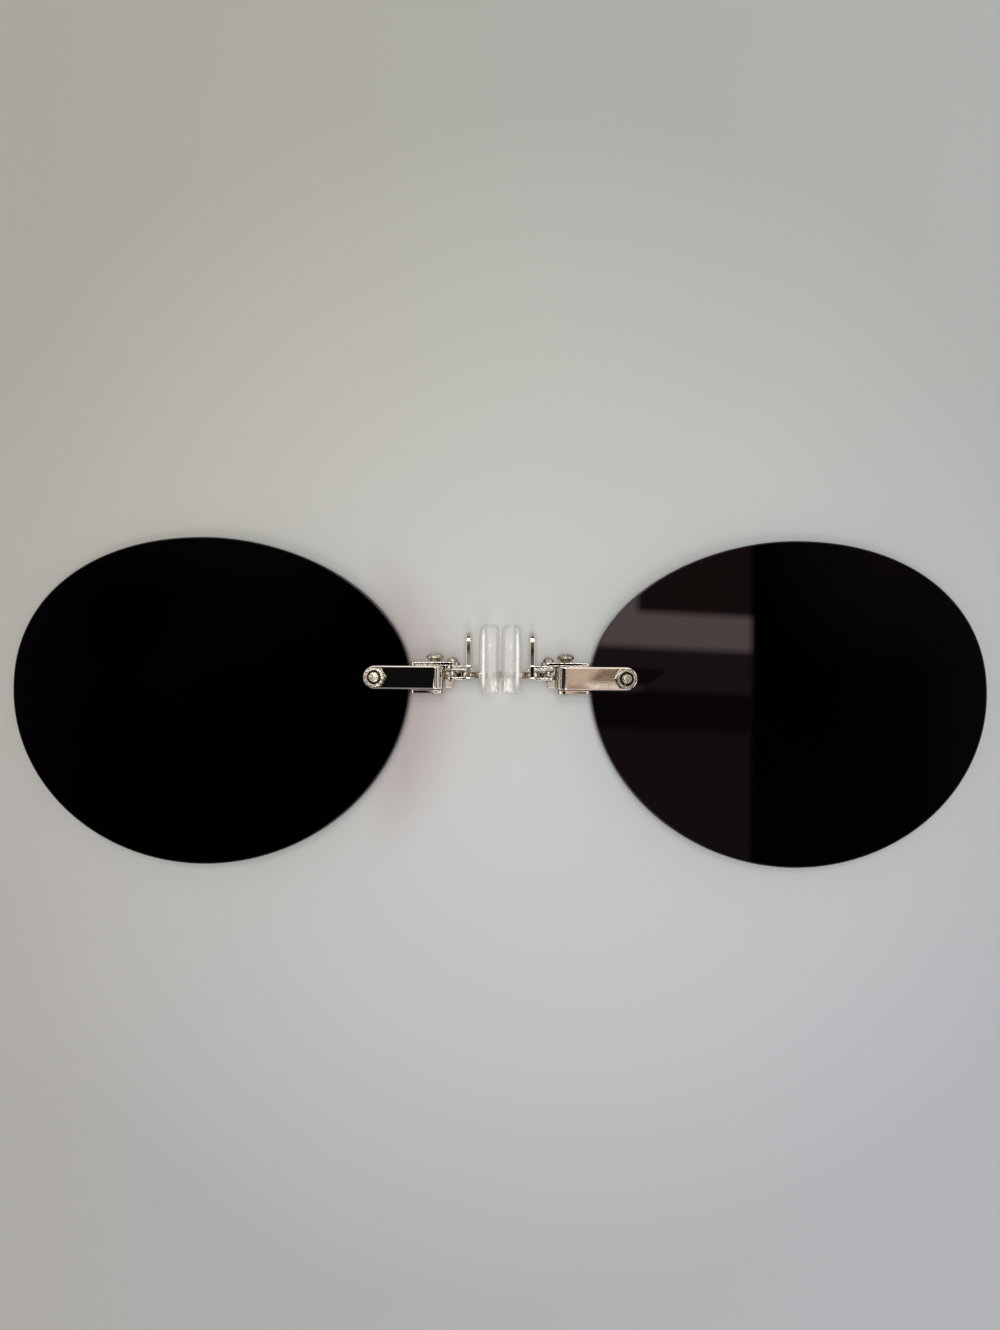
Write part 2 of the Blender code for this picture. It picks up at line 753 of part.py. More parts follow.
def make_guard_arm(side, frame, metal):
    outline = strip(arm_path(), arm_thickness)
    shape = extruded("Y", outline, arm_low, arm_low + arm_height)
    arm = add_object(names[side] + "guard_arm", shape, frame, metal, side)
    centre = (plate_x - pivot_x, arm_middle, arm_rivet_back)
    hole = rod("X", arm_rivet_radius + seat_gap, -mm, mm, centre, 16)
    apply_tool(arm, "DIFFERENCE", names[side] + "arm_hole_tool", hole, side)
    hole = rod("X", guard_rivet_radius + seat_gap, -mm, mm, (0, 0, 0), 16)
    turn = Matrix.Rotation(guard_splay, 3, "Y")
    bmesh.ops.rotate(hole, verts=hole.verts, matrix=turn)
    place = (guard_x - pivot_x, arm_middle, guard_back)
    bmesh.ops.translate(hole, verts=hole.verts, vec=place)
    apply_tool(arm, "DIFFERENCE", names[side] + "arm_end_hole_tool", hole, side)


def make_arm_rivet(side, frame, metal):
    sheet_x = plate_x - pivot_x
    head = finger_plate_thickness / 2 + seat_gap
    inner = -finger_plate_thickness / 2 - 2 * seat_gap - arm_thickness
    end = dome(arm_rivet_head_radius * 0.85, 0, arm_rivet_head_height * 0.6, 3)
    profile = [(radius, inner - level) for radius, level in end[::-1]]
    profile += [(arm_rivet_radius, inner), (arm_rivet_radius, head)]
    profile += dome(arm_rivet_head_radius, head, arm_rivet_head_height, 4)
    shape = turned("X", profile, (sheet_x, arm_middle, arm_rivet_back), 16)
    add_object(names[side] + "arm_rivet", shape, frame, metal, side)


def guard_outline(grow=0.0):
    """The guard plate from the side, as (height, depth) about its middle."""
    half_height = guard_height / 2 - guard_corner
    half_depth = guard_depth / 2 - guard_corner
    radius = guard_corner + grow
    corners = []
    for height in (-half_height, half_height):
        for depth in (-half_depth, half_depth):
            corners.append((height, depth, radius))
    return around(corners, 24)


def make_guard_plate(side, frame, metal):
    shape = extruded("X", guard_outline(), -guard_thickness / 2, guard_thickness / 2)
    plate = add_object(names[side] + "guard_plate", shape, frame, metal, side)
    centre = (0, arm_middle - guard_rise, 0)
    hole = rod("X", guard_rivet_radius + seat_gap, -mm, mm, centre, 16)
    apply_tool(plate, "DIFFERENCE", names[side] + "guard_hole_tool", hole, side)


def make_guard_rivet(side, frame, metal):
    head = guard_thickness / 2 + 2 * seat_gap + arm_thickness
    inner = -guard_thickness / 2 - seat_gap
    end = dome(guard_rivet_head_radius, 0, guard_rivet_head_height, 3)
    profile = [(radius, inner - level) for radius, level in end[::-1]]
    profile += [(guard_rivet_radius, inner), (guard_rivet_radius, head)]
    profile += dome(guard_rivet_head_radius, head, guard_rivet_head_height, 3)
    shape = turned("X", profile, (0, arm_middle - guard_rise, 0), 16)
    add_object(names[side] + "guard_rivet", shape, frame, metal, side)


def pad_outline(inset):
    half_height = pad_height / 2 - pad_corner
    half_depth = pad_depth / 2 - pad_corner
    shrink = (pad_corner - inset) / pad_corner
    points = []
    for step in range(40):
        angle = 2 * pi * (step + 0.5) / 40
        height = (half_height if cos(angle) > 0 else -half_height) * min(1, shrink + 0.3)
        depth = (half_depth if sin(angle) > 0 else -half_depth) * min(1, shrink + 0.3)
        radius = pad_corner - inset
        points.append((height + radius * cos(angle), depth + radius * sin(angle)))
    return points


def make_pad(side, frame, clear):
    """A soft cushion with a pocket that the guard plate sits in."""
    face = -guard_thickness / 2 - pad_cover
    outer = guard_thickness / 2 + pad_lip
    edge = pad_edge_round
    layers = [
        (face, pad_outline(edge * 3.2)),
        (face + 0.1 * edge, pad_outline(edge * 2.2)),
        (face + 0.35 * edge, pad_outline(edge * 1.2)),
        (face + 0.8 * edge, pad_outline(edge * 0.45)),
        (face + 1.5 * edge, pad_outline(0)),
        (outer - edge, pad_outline(0)),
        (outer - 0.3 * edge, pad_outline(edge * 0.3)),
        (outer, pad_outline(edge)),
    ]
    pad = add_object(names[side] + "pad", stacked("X", layers), frame, clear, side, 60)
    half = guard_thickness / 2 + pad_gap
    pocket = extruded("X", guard_outline(pad_gap), -half, half)
    apply_tool(pad, "DIFFERENCE", names[side] + "pocket_tool", pocket, side)
    middle = arm_middle - guard_rise
    window = extruded(
        "X",
        [
            (middle - arm_height * 0.75, -pad_depth),
            (middle + arm_height * 0.75, -pad_depth),
            (middle + arm_height * 0.75, arm_height * 1.1),
            (middle - arm_height * 0.75, arm_height * 1.1),
        ],
        guard_thickness / 2 - 0.1 * mm,
        outer + mm,
    )
    apply_tool(pad, "DIFFERENCE", names[side] + "window_tool", window, side)
    radius = guard_rivet_head_radius + pad_gap
    low = -guard_thickness / 2 - seat_gap - guard_rivet_head_height - pad_gap
    recess = rod("X", radius, low, 0, (0, middle, 0), 16)
    apply_tool(pad, "DIFFERENCE", names[side] + "rivet_recess_tool", recess, side)


names = {1: "right_", -1: "left_"}


def main():
    clear_scene()
    glass = new_material("dark_glass", (0.006, 0.005, 0.006), 0.0, 0.03)
    nickel = new_material("polished_nickel", (0.78, 0.76, 0.73), 1.0, 0.12)
    steel = new_material("spring_steel", (0.42, 0.40, 0.38), 1.0, 0.28)
    nylon = new_material("clear_nylon", (0.85, 0.85, 0.84), 0.0, 0.2, 0.8)
    silicone = new_material("clear_silicone", (0.90, 0.90, 0.90), 0.0, 0.15, 0.9)
    centre = add_empty("bridge_centre", (0, mount_y, axis_z))
    make_bridge(centre, nickel)
    for side in (1, -1):
        make_hinge_screw(side, centre, nickel)
        make_pivot_pin(side, centre, nickel)
        make_spring(side, centre, steel)
        place = (side * hinge_x, mount_y, axis_z)
        fold = add_empty(names[side] + "fold_axis", place, side * droop)
        make_lens(side, fold, glass)
        make_lens_mount(side, fold, nickel)
        make_lens_screw(side, fold, nickel)
        make_lens_nut(side, fold, nickel)
        make_lens_bush_and_washers(side, fold, nylon)
        pivot = add_empty(names[side] + "lever_axis", (side * pivot_x, mount_y, axis_z))
        make_lever(side, pivot, nickel)
        make_guard_arm(side, pivot, nickel)
        make_arm_rivet(side, pivot, nickel)
        place = (side * (guard_x - pivot_x), guard_rise, guard_back)
        guard = add_empty(names[side] + "guard_frame", place, side * guard_splay, pivot)
        make_guard_plate(side, guard, nickel)
        make_guard_rivet(side, guard, nickel)
        make_pad(side, guard, silicone)
    bpy.context.view_layer.update()


main()
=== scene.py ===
from math import asin, atan2, cos, hypot, pi, radians, sin
from types import SimpleNamespace as Values

import bmesh
import bpy
import numpy as np
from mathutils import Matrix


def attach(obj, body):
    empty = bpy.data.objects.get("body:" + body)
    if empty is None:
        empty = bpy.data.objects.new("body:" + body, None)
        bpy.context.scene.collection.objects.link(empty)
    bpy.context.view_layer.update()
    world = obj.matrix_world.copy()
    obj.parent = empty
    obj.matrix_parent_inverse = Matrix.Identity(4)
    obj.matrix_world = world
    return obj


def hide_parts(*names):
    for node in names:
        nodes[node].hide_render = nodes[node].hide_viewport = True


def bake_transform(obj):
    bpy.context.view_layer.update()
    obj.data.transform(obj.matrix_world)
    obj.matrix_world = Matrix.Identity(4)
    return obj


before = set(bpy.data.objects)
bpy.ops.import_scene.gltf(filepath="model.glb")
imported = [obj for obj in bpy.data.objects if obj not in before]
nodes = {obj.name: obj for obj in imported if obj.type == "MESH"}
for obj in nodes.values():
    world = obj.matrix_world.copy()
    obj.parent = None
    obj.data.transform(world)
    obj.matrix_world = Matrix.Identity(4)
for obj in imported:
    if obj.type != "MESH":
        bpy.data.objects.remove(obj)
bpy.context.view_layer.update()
mm = 0.001
mergeReach = 2e-7  # metres within which points become one
thinReach = 1e-8  # metres below which an edge is dropped

# Where the moving parts hang, as in the solids
layout = Values(
    mountY=3.2, axisZ=4.9, hingeX=8.5, pivotX=6.25, plateX=4.15, guardX=1.95, guardRise=2.45,
    guardBack=5.0, guardSplay=6.0, lensEdge=3.2, holeInset=4.55, lensWidth=52.5, lensThick=2.0,
    lensChamfer=0.15, strapBack=1.3, strapThick=0.5, strapHalf=1.55, washerThick=0.2, seatGap=0.02,
    armMiddle=0.4,
)
holeX = layout.lensEdge + layout.holeInset
strapFront = layout.strapBack - layout.strapThick
lensBack = strapFront - layout.washerThick - 2 * layout.seatGap
lensFront = lensBack - layout.lensThick
lensReach = layout.lensEdge + layout.lensWidth - layout.lensChamfer
droop = asin(layout.axisZ / hypot(lensReach, lensFront)) - atan2(-lensFront, lensReach)
sides = {"right": 1, "left": -1}


# Turns points about Y: x' = x cos a + z sin a and z' = z cos a - x sin a, with y kept
def turnedAboutY(points, angle):
    x, y, z = points[..., 0], points[..., 1], points[..., 2]
    return np.stack([x * cos(angle) + z * sin(angle), y, z * cos(angle) - x * sin(angle)], -1)


# Moves points drawn about a joint or a pad's middle on the +X side: a turn, then a shift
def inPlace(points, home):
    if home == "fold":
        points = turnedAboutY(points, droop) + (layout.hingeX, 0, 0)
    if home == "guard":
        middle = (layout.guardX, layout.guardRise, layout.guardBack)
        points = turnedAboutY(points, radians(layout.guardSplay)) + middle
    if home == "lever":
        points = points + (layout.pivotX, 0, 0)
    return points + (0, layout.mountY, layout.axisZ)


# Each cell of a grid is a face of four neighbours: row i and i + 1, column j and j + 1
def gridFaces(rows, cols, wrapRows, wrapCols):
    row = np.arange(rows if wrapRows else rows - 1)[:, None]
    col = np.arange(cols if wrapCols else cols - 1)[None, :]
    nextRow, nextCol = (row + 1) % rows, (col + 1) % cols
    corners = (row * cols + col, row * cols + nextCol, nextRow * cols + nextCol, nextRow * cols + col)
    return np.stack(corners, -1).reshape(-1, 4)


# Joins grids of points (rows x columns x 3, wrapRows, wrapCols) into one mesh in metres,
# merges what coincides at seams and poles, and turns the faces outwards. Edges that bend more
# than smooth degrees stay sharp, and tone holds, per point, lens edge wear and nut painted shade.
def makePiece(name, home, side, grids, material, smooth, tone=None):
    spots, faces, marks, count = [], [], [], 0
    for index, (points, wrapRows, wrapCols) in enumerate(grids):
        rows, cols = points.shape[:2]
        faces.append(gridFaces(rows, cols, wrapRows, wrapCols) + count)
        spots.append(inPlace(points, home).reshape(-1, 3))
        if tone is not None:
            marks.append(np.broadcast_to(tone[index], (rows, cols)).reshape(-1))
        count += rows * cols
    spots = np.concatenate(spots) * (side * mm, mm, mm)
    faces = np.concatenate(faces)
    mesh = bpy.data.meshes.new(name)
    mesh.vertices.add(len(spots))
    mesh.vertices.foreach_set("co", spots.ravel())
    mesh.loops.add(faces.size)
    mesh.loops.foreach_set("vertex_index", faces.ravel())
    mesh.polygons.add(len(faces))
    mesh.polygons.foreach_set("loop_start", np.arange(len(faces)) * 4)
    if tone is not None:
        mesh.attributes.new("edgeWear", "FLOAT", "POINT")
        mesh.attributes["edgeWear"].data.foreach_set("value", np.concatenate(marks))
    mesh.update(calc_edges=True)
    work = bmesh.new()
    work.from_mesh(mesh)
    bmesh.ops.remove_doubles(work, verts=work.verts, dist=mergeReach)
    bmesh.ops.dissolve_degenerate(work, edges=work.edges, dist=thinReach)
    bmesh.ops.recalc_face_normals(work, faces=work.faces)
    work.to_mesh(mesh)
    work.free()
    mesh.shade_smooth()
    mesh.set_sharp_from_angle(angle=radians(smooth))
    mesh.materials.append(material)
    piece = bpy.data.objects.new(name, mesh)
    bpy.context.scene.collection.objects.link(piece)
    return piece


# Adds a piece that stands for one node: it rides on the body that its home moves with, and
# takes the material of its finish
def addPiece(name, ending, home, grids, finish, smooth, part, tone=None):
    material, slot = finishes[finish]
    piece = makePiece(name + ending, home, sides[name], grids, material, smooth, tone)
    units = {"fold": "_lens_unit", "lever": "_lever_unit", "guard": "_lever_unit"}
    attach(piece, name + units[home] if home in units else "bridge_unit")
    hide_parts(f"{name}_{part}")
    return piece


# Even steps round a circle
def circle(steps):
    return np.linspace(0, 2 * pi, steps, endpoint=False)


# A profile of (radius, level) turned about an axis: across = r cos a, r sin a, along = level
def spun(profile, axis, centre, turns=48):
    profile = np.array(profile, float)
    angle = circle(turns)
    across = profile[:, 0, None] * np.cos(angle)
    up = profile[:, 0, None] * np.sin(angle)
    along = np.broadcast_to(profile[:, 1, None], across.shape)
    order = {"X": (along, across, up), "Y": (across, along, up), "Z": (across, up, along)}
    return np.stack(order[axis], -1) + centre


# A quarter of an ellipse from the rim (radius, base) to the pole (0, base + height)
def domeProfile(radius, base, height, steps=10):
    angle = np.linspace(0, pi / 2, steps + 1)
    return list(zip(radius * np.cos(angle), base + height * np.sin(angle)))


# Points of an arc between two angles in degrees: centre + radius (cos a, sin a)
def cornerArc(cx, cy, radius, start, end, steps=4):
    angle = np.radians(np.linspace(start, end, steps + 1))
    return list(zip(cx + radius * np.cos(angle), cy + radius * np.sin(angle)))


# Chords across a slotted head of radius R: s = R sin a beside the slot, and even steps over it
def slotChords(radius, slotWide):
    half = slotWide / 2
    beside = radius * np.sin(np.linspace(-pi / 2, -asin(half / radius), 14))
    return beside, np.linspace(-half, half, 5)


# A domed head with a straight slot, on chords s: up = t sqrt(R^2 - s^2), and the level is
# base + h sqrt(1 - r^2 / R^2), or the slot's floor between its two walls
def slottedDome(radius, base, height, slotWide, slotDeep, axis, centre, flip=1):
    beside, over = slotChords(radius, slotWide)
    s = np.concatenate([beside, over, -beside[::-1]])
    cut = np.concatenate([0 * beside, 0 * over + 1, 0 * beside])
    t = np.sin(np.linspace(-pi / 2, pi / 2, 25))
    across = s[:, None] + 0 * t
    up = t * np.sqrt(np.maximum(radius**2 - s[:, None] ** 2, 0))
    share = np.clip((across**2 + up**2) / radius**2, 0, 1)
    level = base + height * np.sqrt(1 - share)
    level = np.where(cut[:, None] > 0, np.minimum(level, base + height - slotDeep), level) * flip
    order = {"Y": (across, level, up), "Z": (up, across, level)}
    return np.stack(order[axis], -1) + centre


# The shank below a slotted head: rings of (radius, level) whose points stand under its rim
def chordRings(profile, radius, slotWide, axis, centre, flip=1):
    beside, over = slotChords(radius, slotWide)
    s = np.concatenate([beside, over[1:-1], -beside[::-1]])
    upper = np.sqrt(np.maximum(radius**2 - s**2, 0))
    across = np.concatenate([s, s[-2:0:-1]]) / radius
    up = np.concatenate([upper, -upper[-2:0:-1]]) / radius
    profile = np.array(profile, float)
    level = np.broadcast_to(profile[:, 1, None] * flip, (len(profile), len(across)))
    across, up = profile[:, 0, None] * across, profile[:, 0, None] * up
    order = {"Y": (across, level, up), "Z": (up, across, level)}
    return np.stack(order[axis], -1) + centre


# A rectangle with round corners, as (thickness, height): four arcs of corner centre +
# radius (cos a, sin a), each followed by three points on the straight side after it
def roundedSection(halfThick, halfTall, corner):
    turn = np.radians([0, 90, 180, 270])[:, None] + np.linspace(0, pi / 2, 5)
    signs = np.array([(1, 1), (-1, 1), (-1, -1), (1, -1)])
    centre = signs * (halfThick - corner, halfTall - corner)
    arcs = centre[:, None] + corner * np.stack([np.cos(turn), np.sin(turn)], -1)
    share = np.array([0.06, 0.5, 0.94])[:, None]
    straight = arcs[:, -1:] * (1 - share) + np.roll(arcs[:, :1], -1, 0) * share
    return np.concatenate([arcs, straight], 1).reshape(-1, 2)


# A strip along a path in X and Z: point = path + normal * thickness + Y * height, where tall
# holds half the strip's height at each station
def bentStrip(path, halfThick, tall, corner):
    along = np.gradient(path, axis=0)
    along /= np.linalg.norm(along, axis=1)[:, None]
    normal = np.stack([-along[:, 1], along[:, 0]], -1)
    section = roundedSection(halfThick, 1.0, corner)
    thick, inset = section[:, 0], 1.0 - np.abs(section[:, 1])
    tall = np.asarray(tall)[:, None]
    nearEdge = np.sign(section[:, 1]) * np.maximum(tall - inset, 0)
    height = np.where(inset < 2 * corner, nearEdge, section[:, 1] * tall)
    x = path[:, 0, None] + normal[:, 0, None] * thick
    z = path[:, 1, None] + normal[:, 1, None] * thick
    return np.stack([x, height, z], -1)


# Adds a collapsed ring at both ends of a strip or wire, at the middle of its last ring
def closedEnds(points):
    first = np.broadcast_to(points[0].mean(0), points[0].shape)
    last = np.broadcast_to(points[-1].mean(0), points[-1].shape)
    return np.concatenate([first[None], points, last[None]])


# Chaikin corner cutting: each corner gives way to points at 1/4 and 3/4 of its edges
def softened(path, rounds=3):
    path = np.array(path, float)
    for _ in range(rounds):
        low = path[:-1] * 0.75 + path[1:] * 0.25
        high = path[:-1] * 0.25 + path[1:] * 0.75
        path = np.concatenate([path[:1], np.stack([low, high], 1).reshape(-1, 2), path[-1:]])
    return path


# Materials: small node helpers first. A new material comes with its tree and its main shader.
def newTree(name):
    material = bpy.data.materials.new(name)
    material.use_nodes = True
    tree = material.node_tree
    return material, tree, tree.nodes["Principled BSDF"]


# Adds a node. Each input is a socket to link or a value to set, and settings are its own fields.
def node(tree, kind, inputs=(), **settings):
    made = tree.nodes.new("ShaderNode" + kind)
    for key, value in settings.items():
        setattr(made, key, value)
    for key, value in dict(inputs).items():
        if isinstance(value, bpy.types.NodeSocket):
            tree.links.new(value, made.inputs[key])
        else:
            made.inputs[key].default_value = value
    return made


# Fractal noise from 0 to 1: octave i is rough^i times noise at 2^i times the scale
def noise(tree, place, scale, detail=3.0, rough=0.55):
    inputs = {"Vector": place, "Scale": scale, "Detail": detail, "Roughness": rough}
    return node(tree, "TexNoise", inputs).outputs["Fac"]


# Maps a value from one range to another, or to 0 to 1, held at both ends
def spread(tree, value, fromLow, fromHigh, toLow=0.0, toHigh=1.0):
    ends = {"From Min": fromLow, "From Max": fromHigh, "To Min": toLow, "To Max": toHigh}
    return node(tree, "MapRange", {"Value": value, **ends}, clamp=True).outputs["Result"]


# Mixes two colours: first * (1 - factor) + second * factor
def between(tree, factor, first, second):
    made = node(tree, "Mix", data_type="RGBA")
    for socket, value in ((made.inputs[0], factor), (made.inputs[6], first), (made.inputs[7], second)):
        if isinstance(value, bpy.types.NodeSocket):
            tree.links.new(value, socket)
        else:
            socket.default_value = value if isinstance(value, float) else (*value, 1.0)
    return made.outputs[2]


# One step of arithmetic on up to three values, such as first * second + third
def maths(tree, operation, first, second=0.0, third=0.0):
    return node(tree, "Math", {0: first, 1: second, 2: third}, operation=operation).outputs[0]


# The piece's own coordinates in metres, scaled along the axes and then turned
def objectPlace(tree, scale=(1, 1, 1), turn=(0, 0, 0)):
    coords = node(tree, "TexCoord").outputs["Object"]
    inputs = {"Vector": coords, "Scale": scale, "Rotation": turn}
    return node(tree, "Mapping", inputs).outputs["Vector"]


# Tilts the shading by the slope of height * distance, as far as the strength says
def bump(tree, height, strength, distance):
    inputs = {"Height": height, "Strength": strength, "Distance": distance}
    return node(tree, "Bump", inputs).outputs["Normal"]


# Links what varies over the surface to the shader, and sets on it what is the same all over
def connect(tree, shader, varying, plain):
    for key, socket in varying.items():
        tree.links.new(socket, shader.inputs[key])
    for key, value in plain.items():
        shader.inputs[key].default_value = value


plateLook = Values(
    bright=(0.66, 0.61, 0.545), warm=(0.585, 0.53, 0.465), drift=650.0, driftReach=(0.35, 0.65),
    lines=(900, 9000, 900), linesTurn=(0.2, 0.35, 0.5), linesDetail=2.0, scratch=(0.012, 0.00001),
    haze=2600.0, hazeReach=(0.35, 0.7), rough=(0.01, 0.035), glint=0.1,
)
wireLook = Values(
    bright=(0.56, 0.53, 0.49), warm=(0.43, 0.38, 0.33), drift=900.0, driftReach=(0.3, 0.7),
    lines=(9000, 3000, 9000), linesTurn=(0, 0, 0), linesDetail=3.0, scratch=(0.08, 0.00001),
    haze=0, hazeReach=(0.3, 0.7), rough=(0.16, 0.3),
)


# Polished plate and drawn wire: a slow drift of tone, fine lines, and a roughness that follows a
# faint haze, or the lines where there is none. Parts of folded sheet also get a soft glint along
# their edges, as wide as glint says in mm.
def plateFinish(name, look, glint=0.0):
    material, tree, shader = newTree(name)
    drift = noise(tree, objectPlace(tree), look.drift)
    tint = between(tree, spread(tree, drift, *look.driftReach), look.bright, look.warm)
    lines = noise(tree, objectPlace(tree, look.lines, look.linesTurn), 1.0, look.linesDetail)
    haze = noise(tree, objectPlace(tree), look.haze, 4.0) if look.haze else lines
    buffed = bump(tree, lines, *look.scratch)
    if glint:
        rounded = node(tree, "Bevel", {"Radius": glint * mm}, samples=6).outputs["Normal"]
        tree.links.new(rounded, buffed.node.inputs["Normal"])
    rough = spread(tree, haze, *look.hazeReach, *look.rough)
    connect(tree, shader, {"Base Color": tint, "Roughness": rough, "Normal": buffed}, {"Metallic": 1.0})
    return material


sideShadeReach = (-0.01, 0.016)  # where along X, in metres, the fittings go from unshaded to their full painted shade
# In these looks the side colour is painted shade for the fittings of one side, standing in for their
# dimmer reflection (none on the core), and the last colour is painted shade for the nut's funnel and
# foot
turnedLook = Values(
    bright=(0.70, 0.62, 0.505), deep=(0.2, 0.165, 0.125), grain=3600.0, mottle=(0.8, 0.00006),
    rough=(0.36, 0.2), metal=0.84, tarnish=(0.11, 0.09, 0.073), tarnishMost=0.65,
    grime=(0.035, 0.03, 0.025),
)
coreLook = Values(
    bright=(0.86, 0.85, 0.82), deep=(0.66, 0.65, 0.62), grain=2400.0, mottle=(0.1, 0.00006),
    rough=(0.4, 0.25), metal=0.6, tarnish=(0.6, 0.59, 0.56), tarnishMost=0.0,
    grime=(0.2, 0.19, 0.18),
)


# Turned or stamped metal that was never buffed: mottled tone, dents and a satin surface. The
# fittings of one side get painted shade for their dimmer reflection, and the nut gets painted
# shade in its funnel, at its corners and along its foot, where the mesh attribute says
def satinFinish(name, look):
    material, tree, shader = newTree(name)
    place = objectPlace(tree)
    blotch = noise(tree, place, look.grain, 3.0, 0.6)
    tint = between(tree, spread(tree, blotch, 0.4, 0.58), look.deep, look.bright)
    # Painted shade on the fittings of one side, growing along X, for the dimmer reflection they show
    across = node(tree, "SeparateXYZ", {0: place}).outputs["X"]
    sideShadeShare = spread(tree, across, *sideShadeReach, 0.0, look.tarnishMost)
    tint = between(tree, sideShadeShare, tint, look.tarnish)
    # Painted shade where the mesh attribute marks it: the nut's funnel, corners and foot
    shadeShare = node(tree, "Attribute", attribute_name="edgeWear").outputs["Fac"]
    tint = between(tree, shadeShare, tint, look.grime)
    rough = spread(tree, blotch, 0.3, 0.7, *look.rough)
    dents = bump(tree, blotch, *look.mottle)
    varying = {"Base Color": tint, "Roughness": rough, "Normal": dents}
    connect(tree, shader, varying, {"Metallic": look.metal})
    return material


glassLook = Values(
    body=(0.0002, 0.0001, 0.0002), cloud=(0.0007, 0.0004, 0.0008), cloudGrain=28.0,
    dust=(0.14, 0.135, 0.14), dustGrain=260.0, dustSize=(0.02, 0.035), dustShare=(0.955, 0.965),
    edge=(0.035, 0.034, 0.034), edgeRough=0.3, smearGrain=140.0, rough=(0.006, 0.02),
    coat=(1.0, 0.868, 1.0), shine=0.14, bend=1.5,
)


# Near-black tint with a faint purple coat, a few specks of dust and a satin ground edge
def glassFinish(look):
    material, tree, shader = newTree("darkLens")
    place = objectPlace(tree)
    cloud = noise(tree, place, look.cloudGrain, 2.0)
    body = between(tree, spread(tree, cloud, 0.35, 0.65), look.body, look.cloud)
    cells = node(tree, "TexVoronoi", {"Vector": place, "Scale": look.dustGrain})
    speck = spread(tree, cells.outputs["Distance"], *look.dustSize, 1.0, 0.0)
    chosen = node(tree, "SeparateColor", {"Color": cells.outputs["Color"]}).outputs["Red"]
    dust = maths(tree, "MULTIPLY", speck, spread(tree, chosen, *look.dustShare))
    edge = node(tree, "Attribute", attribute_name="edgeWear").outputs["Fac"]
    body = between(tree, edge, between(tree, dust, body, look.dust), look.edge)
    smear = noise(tree, place, look.smearGrain, 5.0, 0.6)
    smear = spread(tree, smear, 0.3, 0.75, *look.rough)
    rough = maths(tree, "MULTIPLY_ADD", edge, look.edgeRough, smear)
    coat = (*look.coat, 1.0)
    plain = {"IOR": look.bend, "Specular IOR Level": look.shine, "Specular Tint": coat}
    connect(tree, shader, {"Base Color": body, "Roughness": rough}, plain)
    return material


padLook = Values(
    clear=(0.97, 0.955, 0.94), milk=(0.91, 0.895, 0.88), grain=420.0, skinGrain=1500.0,
    skin=(0.06, 0.00004), rough=(0.03, 0.08), clearness=0.7, cover=0.55, shine=0.3, bend=1.3,
)
nylonLook = Values(
    clear=(0.93, 0.93, 0.91), milk=(0.84, 0.84, 0.82), grain=1200.0, skinGrain=0,
    rough=(0.18, 0.3), clearness=0.75, cover=1.0, shine=0.5, bend=1.52,
)


# Clear moulded plastic: almost colourless, with soft swirls of milk. Pads also have a faint skin.
def clearFinish(name, look):
    material, tree, shader = newTree(name)
    place = objectPlace(tree)
    swirl = noise(tree, place, look.grain)
    varying = {
        "Base Color": between(tree, swirl, look.clear, look.milk),
        "Roughness": spread(tree, swirl, 0.3, 0.7, *look.rough),
    }
    if look.skinGrain:
        varying["Normal"] = bump(tree, noise(tree, place, look.skinGrain, 2.0), *look.skin)
    plain = {
        "Transmission Weight": look.clearness, "Alpha": look.cover,
        "Specular IOR Level": look.shine, "IOR": look.bend,
    }
    connect(tree, shader, varying, plain)
    return material


# Each finish with its material slot
finishes = {
    "plate": (plateFinish("polishedNickel", plateLook), "nickel"),
    "folded": (plateFinish("foldedNickel", plateLook, plateLook.glint), "nickel"),
    "turned": (satinFinish("turnedNickel", turnedLook), "nickel"),
    "core": (satinFinish("stampedCore", coreLook), "nickel"),
    "steel": (plateFinish("drawnSteel", wireLook), "spring_steel"),
    "glass": (glassFinish(glassLook), "dark_lens"),
    "silicone": (clearFinish("clearSilicone", padLook), "clear_silicone"),
    "nylon": (clearFinish("clearNylon", nylonLook), "clear_nylon"),
}
print("materials made")

# Lenses
lensShape = Values(
    height=42.8, topShift=0.8, bottomShift=0.9, templeRise=1.3, noseRise=3.2, upperTemple=2.18,
    upperNose=1.88, lowerNose=1.97, lowerTemple=2.0, holeRadius=1.1, holeRound=0.08, edgeRound=0.15,
    pointsPerQuarter=96, shares=(0.0, 0.012, 0.05, 0.15, 0.3, 0.5, 0.7, 0.85, 0.95),
    faceMargin=0.06, rimMargin=0.05, edgeWear=(0.15, 0.6, 0.6, 0.6, 1.0), holeWear=0.6,
)


# Four quarter superellipses: across = a |cos t|^(2/n) and up = b |sin t|^(2/n)
def lensOutline(shape):
    halfWide, halfTall = layout.lensWidth / 2, shape.height / 2
    quarters = (
        (shape.topShift, shape.templeRise, 1, 1, shape.upperTemple),
        (shape.topShift, shape.noseRise, -1, 1, shape.upperNose),
        (shape.bottomShift, shape.noseRise, -1, -1, shape.lowerNose),
        (shape.bottomShift, shape.templeRise, 1, -1, shape.lowerTemple),
    )
    share, found = np.arange(shape.pointsPerQuarter) / shape.pointsPerQuarter, []
    for index, (x, y, right, up, fullness) in enumerate(quarters):
        angle = pi / 2 * (share if index % 2 == 0 else 1 - share)
        across = np.abs(np.cos(angle)) ** (2 / fullness) * (halfWide - right * x)
        tall = np.abs(np.sin(angle)) ** (2 / fullness) * (halfTall - up * y)
        found.append(np.stack([x + right * across, y + up * tall], -1))
    return np.concatenate(found) + (layout.lensEdge + layout.lensWidth / 2, -layout.mountY)


